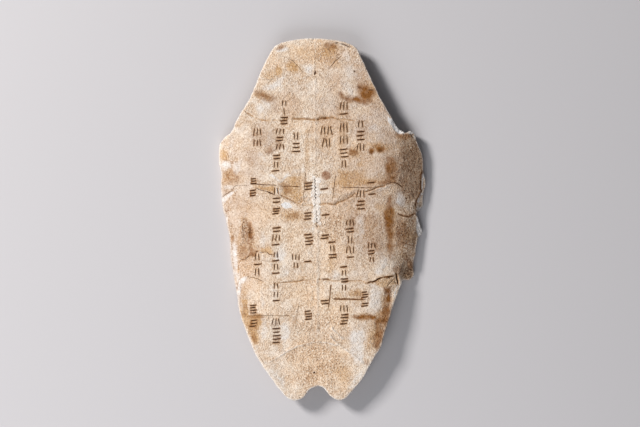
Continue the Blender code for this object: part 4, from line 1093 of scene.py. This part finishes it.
def backPoint(x, y):
    # height of the back, never below the floor, and how much of each colour lies there
    depth, scorch = hollowRelief(x, y)
    joint = sutureRelief(x, y) * (depth == 0)
    scrape = cloud(x * 0.35 + y * 0.1, y * 1.5, 1.6, 131, 2)
    height = backHeight(x, y) + relief["backRolling"] * cloud(x, y, 9.0, 137) + relief["backScrape"] * scrape
    height = height + depth + sutures["depth"] * joint
    tints = {name: np.zeros(len(x)) for name in (*colours, "fill")}
    tints["ochre"] = smoothStep(0.5 + 0.9 * cloud(x, y, 22.0, 139))
    tints["brown"] = soiling["backBrown"] * smoothStep(cloud(x, y, 16.0, 149) * 1.4 - 0.1)
    tints["coarse"] = np.full(len(x), soiling["backCoarse"])
    tints["dirt"] = sutures["dirt"] * joint
    tints["bare"] = np.full(len(x), soiling["backBare"])
    tints["scorch"] = scorch
    return np.maximum(height, 0.0), tints


# --- building the mesh ---
def hexLattice(step, seed):
    # rows half a step out of line, each point nudged at random
    rowStep = step * math.sqrt(3) / 2
    rows = np.arange(-int(plate["length"] / 2 / rowStep) - 1, int(plate["length"] / 2 / rowStep) + 2)
    columns = np.arange(-int(plate["width"] / 2 / step) - 1, int(plate["width"] / 2 / step) + 2)
    column, row = np.meshgrid(columns, rows)
    points = np.column_stack([((column + 0.5 * (row % 2)) * step).ravel(), (row * rowStep).ravel()])
    nudge = np.random.default_rng(seed).uniform(-net["nudge"], net["nudge"], points.shape)
    return points + nudge * step


def clearOf(points, lines, gap):
    # drops the points within about a gap of the lines, by marking the lines on a grid of half-gap squares
    cell = gap / 2
    origin = points.min(0) - 2 * gap
    marked = np.zeros(((points.max(0) + 2 * gap - origin) / cell).astype(int) + 2, bool)
    for line in lines:
        along = lengthAlong(line)
        fine = np.arange(0, along[-1], cell * 0.7)
        spots = np.column_stack([np.interp(fine, along, line[:, 0]), np.interp(fine, along, line[:, 1])])
        column, row = ((spots - origin) / cell).astype(int).T
        for across in (-1, 0, 1):
            for up in (-1, 0, 1):
                marked[column + across, row + up] = True
    column, row = ((points - origin) / cell).astype(int).T
    return points[~marked[column, row]]


def fillLoop(loop, chains, step, seed):
    # triangulates the inside of the loop over a hexagonal lattice, keeping the chains as edges
    closed = np.vstack([loop, loop[:1]])
    lattice = clearOf(hexLattice(step, seed), [closed, *chains], net["clearance"] * step)
    edges, count = [], len(loop)
    for chain in chains:
        edges.extend((count + i, count + i + 1) for i in range(len(chain) - 1))
        count += len(chain)
    points = np.vstack([loop, *chains, lattice])
    plan = delaunay_2d_cdt(points.tolist(), edges, [list(range(len(loop)))], 1, 1e-4)
    spots, triangles = np.array(plan[0]), np.array(plan[2])
    used = np.unique(triangles)
    renumbered = np.full(len(spots), -1)
    renumbered[used] = np.arange(len(used))
    return spots[used], renumbered[triangles]


def wornOutline():
    # the outline with its edge nibbled by noise, more where the bone is broken; also its outward direction
    outline = rimOutline()
    run = np.roll(outline, -3, 0) - np.roll(outline, 3, 0)
    outward = np.column_stack([run[:, 1], -run[:, 0]]) / np.hypot(run[:, 0], run[:, 1])[:, None]
    x, y = outline.T
    broken = spotField(x, y, {**porous, "softness": porous["rimSoftness"]}, 19)
    nibble = rim["nibble"] * cloud(x, y, 3.4, 167)
    nibble += broken * (rim["brokenNibble"] * cloud(x, y, 2.6, 173) - rim["brokenLoss"])
    nibble -= rim["notch"] * pores(x, y, 6.0, 179) * smoothStep(0.3 + cloud(x, y, 30.0, 181))
    return outline + outward * nibble[:, None], outward, broken


def rimRing(level, outline, outward, broken, face, back):
    # one ring of points down the rim, closer together near the face and the back. How far in from the edge
    # it lies is a rounded square, 0 at mid height, less the bumps, which are highest there
    (top, faceTints), (bottom, backTints) = face, back
    down = (1 - math.cos(math.pi * level / (rim["levels"] - 1))) / 2
    fromMiddle = abs(2 * down - 1)
    section = rim["round"] * (1 - (1 - fromMiddle ** rim["squareness"]) ** (1 / rim["squareness"]))
    z = top + (bottom - top) * down
    x, y = outline[:, 0] + rim["slant"] * z, outline[:, 1] - rim["slant"] * z
    holes = pores(x, y, 1.3, 163)
    bumps = rim["bump"] * cloud(x, y, 2.4, 151)
    bumps = bumps + broken * (rim["brokenBump"] * cloud(x, y, 1.8, 157) - rim["pore"] * holes)
    inset = section - bumps * (1 - fromMiddle**3)
    tints = {name: faceTints[name] * (1 - down) + backTints[name] * down for name in faceTints}
    tints["bare"] = np.clip(rim["bare"] + (1 - rim["bare"]) * broken, 0, 1)
    # the top of the rim is paler and whiter: pale bone, and a painted highlight along the edge
    tints["pale"] = np.maximum(tints["pale"], rim["pale"] - rim["paleFade"] * down)
    tints["white"] = np.maximum(tints["white"], rim["white"] - rim["whiteFade"] * down)
    tints["dirt"] = rim["dirt"] * broken * holes
    return np.column_stack([outline - outward * inset[:, None], z]), tints


def buildBone():
    # the face, the rings down the rim and the back, which share the rim's own points, as one closed skin
    outline, outward, broken = wornOutline()
    inner = outline - outward * rim["round"]
    cuts = strokeCuts() + crackCuts() + fillingCuts()
    print("cuts in the face:", len(cuts))
    pitRings = [ring(cx, cy, halfWidth * share, halfLength * share, turn, count)
                for cx, cy, halfWidth, halfLength, turn, _ in pits
                for share, count in ((1.3, 19), (0.75, 13))]
    faceSpots, faceTriangles = fillLoop(inner, cutChains(cuts) + pitRings, net["faceStep"], 41)
    print("face:", len(faceSpots), "points,", len(faceTriangles), "triangles")
    mouths = [ring(*place, 0, 49) for *place, _ in hollowOvals()]
    backSpots, backTriangles = fillLoop(inner, mouths, net["backStep"], 43)
    print("back:", len(backSpots), "points,", len(backTriangles), "triangles")

    faceZ, faceTints = facePoint(*faceSpots.T, cuts)
    backZ, backTints = backPoint(*backSpots.T)
    count = len(outline)
    face = faceZ[:count], {name: field[:count] for name, field in faceTints.items()}
    back = backZ[:count], {name: field[:count] for name, field in backTints.items()}
    rings = [rimRing(level, outline, outward, broken, face, back) for level in range(1, rim["levels"] - 1)]
    layers = [(np.column_stack([faceSpots, faceZ]), faceTints), *rings,
              (np.column_stack([backSpots, backZ]), backTints)]
    places, tints = zip(*layers)

    starts = np.cumsum([0] + [len(p) for p in places[:-1]])
    strips = []
    here = np.arange(count)
    there = (here + 1) % count
    for upper, lower in zip(starts, starts[1:]):
        strips.append(np.column_stack([upper + here, lower + here, lower + there]))
        strips.append(np.column_stack([upper + here, lower + there, upper + there]))
    triangles = np.vstack([faceTriangles, *strips, backTriangles[:, ::-1] + starts[-1]])
    values = {name: np.concatenate([t[name] for t in tints]) for name in faceTints}
    return np.vstack(places) * mm, triangles, values


def meshFrom(name, vertices, triangles, values):
    # one smooth mesh, creased where its triangles meet at more than the sharp angle; the values become its
    # attributes
    mesh = bpy.data.meshes.new(name)
    mesh.vertices.add(len(vertices))
    mesh.vertices.foreach_set("co", vertices.astype(np.float32).ravel())
    mesh.loops.add(triangles.size)
    mesh.loops.foreach_set("vertex_index", triangles.astype(np.int32).ravel())
    mesh.polygons.add(len(triangles))
    mesh.polygons.foreach_set("loop_start", np.arange(0, triangles.size, 3, dtype=np.int32))
    mesh.update(calc_edges=True)
    mesh.validate()
    mesh.shade_smooth()
    mesh.set_sharp_from_angle(angle=math.radians(net["sharpAngle"]))
    for key, field in values.items():
        layer = mesh.attributes.new(key, "FLOAT", "POINT")
        layer.data.foreach_set("value", field.astype(np.float32))
    return mesh


# --- material ---
bone = {
    "cream": (0.83, 0.70, 0.57),
    "tan": (0.72, 0.56, 0.42),
    "paleCream": (0.88, 0.80, 0.72),
    "veins": (0.88, 0.79, 0.70),
    "peach": (0.93, 0.70, 0.49),
    "glint": (0.98, 0.90, 0.80),
    "brown": (0.27, 0.104, 0.016),
    "darkBrown": (0.085, 0.036, 0.010),
    "paintedShade": (0.76, 0.71, 0.69),  # the painted shade's colour; this, the speck and the pore are what is left of the colour under them
    "ochre": (0.63, 0.39, 0.175),
    "pale": (0.83, 0.75, 0.665),
    # bleached bone, and the painted highlights along the right edge
    "white": (0.81, 0.81, 0.825),
    "filling": (0.96, 0.93, 0.90),
    "bare": (0.66, 0.50, 0.35),
    # grey-brown for the right wing's dirt and painted shade
    "wingDirtAndShade": (0.33, 0.225, 0.145),
    "dot": (0.38, 0.205, 0.12),
    "dirt": (0.07, 0.024, 0.007),
    "scorch": (0.045, 0.026, 0.016),
    "speck": (0.64, 0.53, 0.44),
    "pore": (0.60, 0.50, 0.42),
    "underStains": {"peach": 0.6, "ochre": 0.8},  # how strong each stain is, from the lowest up
    # stains, and among them the painted shade and the right wing's dirt and painted shade
    "stains": {
        "bare": 0.5, "pale": 0.85, "wingDirtAndShade": 0.8, "paintedShade": 1.0, "white": 0.92, "brown": 0.97,
        "darkBrown": 0.9,
    },
    "broad": 15, "vein": 6.5, "middling": 3.4, "fine": 0.75, "finest": 0.45,  # sizes in millimetres
    "craze": 1.15,
    "pocks": (0.95, 0.48, 0.82),  # how far apart, how far each reaches, and what share of them is there
    "glints": (1.0, 0.46, 0.78),
    "bump": 0.33, "fineBump": 0.22,
    "roughness": 0.6, "smoother": 0.1, "rougher": 0.15,
    "specular": 0.16,
}


def plug(tree, socket, value):
    # another node's output is linked, and a number or colour is set
    if isinstance(value, bpy.types.NodeSocket):
        tree.links.new(value, socket)
    else:
        socket.default_value = value


def node(tree, kind, settings=None, **inputs):
    # an underscore in an input's name stands for a space
    made = tree.nodes.new("ShaderNode" + kind)
    for key, value in (settings or {}).items():
        setattr(made, key, value)
    for key, value in inputs.items():
        plug(tree, made.inputs[key.replace("_", " ")], value)
    return made


def blendOver(tree, factor, below, above, blend="MIX"):
    # lays one colour over another; each may be a socket or a plain colour
    made = node(tree, "Mix", {"data_type": "RGBA", "blend_type": blend})
    for index, value in ((0, factor), (6, below), (7, above)):
        plug(tree, made.inputs[index], (*value, 1.0) if isinstance(value, tuple) else value)
    return made.outputs[2]


def spread(tree, value, low, high, toLow=0.0, toHigh=1.0):
    # stretches low to high over toLow to toHigh, and clamps
    made = node(tree, "MapRange", Value=value, From_Min=low, From_Max=high, To_Min=toLow, To_Max=toHigh)
    return made.outputs["Result"]


def combine(tree, operation, a, b):
    # two sockets or numbers added, multiplied or compared
    made = node(tree, "Math", {"operation": operation})
    for socket, value in zip(made.inputs, (a, b)):
        plug(tree, socket, value)
    return made.outputs[0]


def boneMaterial():
    material = bpy.data.materials.new("agedBone")
    material.use_nodes = True
    tree = material.node_tree
    shader = tree.nodes["Principled BSDF"]
    where = node(tree, "TexCoord").outputs["Object"]

    def noise(size, detail):
        # size is the width of one blotch in millimetres
        return node(tree, "TexNoise", Vector=where, Scale=1 / (size * mm), Detail=detail).outputs["Fac"]

    def field(name):
        return node(tree, "Attribute", {"attribute_name": name}).outputs["Fac"]

    def times(a, b):
        return combine(tree, "MULTIPLY", a, b)

    def specks(size, reach, share):
        # round specks about a size apart in millimetres, each reaching out by a share of it; only a share of
        # them, picked by their cells' own random colours, is there
        cells = node(tree, "TexVoronoi", Vector=where, Scale=1 / (size * mm))
        there = spread(tree, cells.outputs["Color"], share - 0.08, share + 0.08, 1.0, 0.0)
        return times(spread(tree, cells.outputs["Distance"], reach * 0.6, reach, 1.0, 0.0), there)

    def stain(colour, name, strength):
        # the stain's edge follows the blotches: its field plus the noise, stretched between two limits
        amount = combine(tree, "ADD", field(name), times(middling, 0.8))
        # the painted shade darkens the colour under it, the other tints cover it
        blend = "MULTIPLY" if name == "paintedShade" else "MIX"
        return blendOver(tree, spread(tree, amount, 0.6, 1.4, 0.0, strength), colour, bone[name], blend)

    broad, veins, middling = (noise(bone[name], 4) for name in ("broad", "vein", "middling"))
    fine, finest = (noise(bone[name], 1) for name in ("fine", "finest"))
    grains = node(tree, "TexVoronoi", Vector=where, Scale=1 / (bone["craze"] * mm)).outputs["Distance"]

    # how strong the grain is: strong where the surface is rough, weak on light veins and bleached spots
    grit = spread(tree, field("coarse"), 0.0, 1.0, 0.55, 1.0)
    grit = times(grit, spread(tree, field("white"), 0.2, 0.9, 1.0, 0.45))
    grit = times(grit, spread(tree, veins, 0.5, 0.62, 1.0, 0.7))
    clean = spread(tree, field("brown"), 0.2, 0.9, 1.0, 0.35)
    clean = times(clean, spread(tree, field("ochre"), 0.3, 1.0, 1.0, 0.6))
    pocks = times(specks(*bone["pocks"]), grit)

    # the bone itself, from its broad patches to its light veins, and then what lies on it
    colour = blendOver(tree, spread(tree, broad, 0.38, 0.62), bone["tan"], bone["cream"])
    colour = blendOver(tree, spread(tree, middling, 0.45, 0.62, 0.0, 0.65), colour, bone["paleCream"])
    colour = blendOver(tree, spread(tree, veins, 0.5, 0.62, 0.0, 0.65), colour, bone["veins"])
    for name, strength in bone["underStains"].items():
        colour = stain(colour, name, strength)
    glints = times(specks(*bone["glints"]), times(grit, clean))
    colour = blendOver(tree, glints, colour, bone["glint"])
    for name, strength in bone["stains"].items():
        colour = stain(colour, name, strength)
    roundStain = times(field("dot"), spread(tree, middling, 0.3, 0.7, 1.0, 0.65))
    colour = blendOver(tree, roundStain, colour, bone["dot"])
    colour = blendOver(tree, spread(tree, field("fill"), 0.3, 0.7, 0.0, 0.92), colour, bone["filling"])
    colour = blendOver(tree, pocks, colour, bone["pore"], "MULTIPLY")
    crazing = times(spread(tree, grains, 0.35, 0.75), times(grit, 0.5))
    colour = blendOver(tree, crazing, colour, bone["speck"], "MULTIPLY")
    for grain, strength in ((fine, 0.8), (finest, 0.85)):
        specked = times(spread(tree, grain, 0.46, 0.6, 0.0, strength), grit)
        colour = blendOver(tree, specked, colour, bone["speck"], "MULTIPLY")
    colour = blendOver(tree, field("scorch"), colour, bone["scorch"])
    colour = blendOver(tree, spread(tree, field("dirt"), 0.2, 0.52, 0.0, 0.95), colour, bone["dirt"])
    tree.links.new(colour, shader.inputs["Base Color"])

    low, high = bone["roughness"] - bone["smoother"], bone["roughness"] + bone["rougher"]
    sheen = spread(tree, fine, 0.3, 0.7, low, high)
    dusty = spread(tree, field("dirt"), 0.1, 0.6, 0.0, 0.95)  # what lies in the cuts is matte
    tree.links.new(combine(tree, "MAXIMUM", sheen, dusty), shader.inputs["Roughness"])
    shader.inputs["Specular IOR Level"].default_value = bone["specular"]

    lumps = combine(tree, "ADD", fine, times(pocks, 0.5))
    lumps = combine(tree, "ADD", lumps, times(crazing, 0.35))
    bump = node(tree, "Bump", {"invert": True}, Height=lumps, Strength=1.0, Distance=bone["bump"] * mm)
    normal = bump.outputs["Normal"]
    bump = node(tree, "Bump", {"invert": True}, Height=finest, Strength=1.0, Distance=bone["fineBump"] * mm,
                Normal=normal)
    tree.links.new(bump.outputs["Normal"], shader.inputs["Normal"])
    material.diffuse_color = (*bone["cream"], 1.0)
    return material


def layBone():
    mesh = meshFrom("carvedPlastron", *buildBone())
    mesh.materials.append(boneMaterial())
    piece = bpy.data.objects.new("carvedPlastron", mesh)
    bpy.context.scene.collection.objects.link(piece)
    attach(piece, "root")
    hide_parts("plastron")
    print("plastron laid:", len(mesh.polygons), "triangles")


# --- floor, lights and camera ---
studio = {
    "floorSize": 6.0,
    "floorColour": (0.52, 0.51, 0.535),
    "floorRoughness": 0.7,
    "floorDrop": 0.0001,  # keeps it out of the bone's two rests
    "worldColour": (0.80, 0.82, 0.86),
    "worldStrength": 0.18,
    "keyFrom": (-1.12, 0.74, 0.90),  # up and to the left of the face
    "keySize": 0.38,
    "keyPower": 33.0,
    "keyColour": (1.0, 0.97, 0.93),
    "fillFrom": (-0.25, -0.75, 0.6),
    "fillSize": 0.75,
    "fillPower": 5.8,
    "fillColour": (1.0, 1.0, 1.0),
    "lens": 90.0,
    "nearest": 0.01,  # the camera sees nothing closer
    "cameraTilt": 2.0,  # degrees from straight down, towards the tail
    "viewHeight": 0.2355,  # height of the view at the face
    "viewShape": 427 / 640,  # its height as a share of its width
    "aim": (-0.0013, 0.0028, 0.008),
}


def layFloor():
    half = studio["floorSize"] / 2
    corners = [(-half, -half, 0), (half, -half, 0), (half, half, 0), (-half, half, 0)]
    mesh = bpy.data.meshes.new("floor")
    mesh.from_pydata(corners, [], [(0, 1, 2, 3)])
    material = bpy.data.materials.new("paleFloor")
    material.use_nodes = True
    shader = material.node_tree.nodes["Principled BSDF"]
    shader.inputs["Base Color"].default_value = (*studio["floorColour"], 1.0)
    shader.inputs["Roughness"].default_value = studio["floorRoughness"]
    mesh.materials.append(material)
    floor = bpy.data.objects.new("floor", mesh)
    floor.location.z = -studio["floorDrop"]
    bpy.context.scene.collection.objects.link(floor)


def hangLight(name):
    # a square lamp that faces the middle of the floor
    lamp = bpy.data.lights.new(name, "AREA")
    lamp.size = studio[name + "Size"]
    lamp.energy = studio[name + "Power"]
    lamp.color = studio[name + "Colour"]
    light = bpy.data.objects.new(name, lamp)
    light.location = studio[name + "From"]
    light.rotation_euler = (-light.location).to_track_quat("-Z", "Y").to_euler()
    bpy.context.scene.collection.objects.link(light)


def setCamera():
    # looks down at the aim from as far off as the lens needs for the height of the view
    camera = bpy.data.cameras.new("camera")
    camera.lens = studio["lens"]
    camera.clip_start = studio["nearest"]
    distance = camera.lens * studio["viewHeight"] / (camera.sensor_width * studio["viewShape"])
    tilt = math.radians(studio["cameraTilt"])
    eye = bpy.data.objects.new("camera", camera)
    eye.location = Vector(studio["aim"]) + distance * Vector((0, -math.sin(tilt), math.cos(tilt)))
    eye.rotation_euler = (tilt, 0, 0)
    bpy.context.scene.collection.objects.link(eye)
    bpy.context.scene.camera = eye


def setStudio():
    layFloor()
    hangLight("key")
    hangLight("fill")
    world = bpy.data.worlds.new("studio")
    world.use_nodes = True
    background = world.node_tree.nodes["Background"]
    background.inputs["Color"].default_value = (*studio["worldColour"], 1.0)
    background.inputs["Strength"].default_value = studio["worldStrength"]
    bpy.context.scene.world = world
    bpy.context.scene.view_settings.view_transform = "Standard"
    setCamera()
    print("studio set")


setStudio()
layBone()
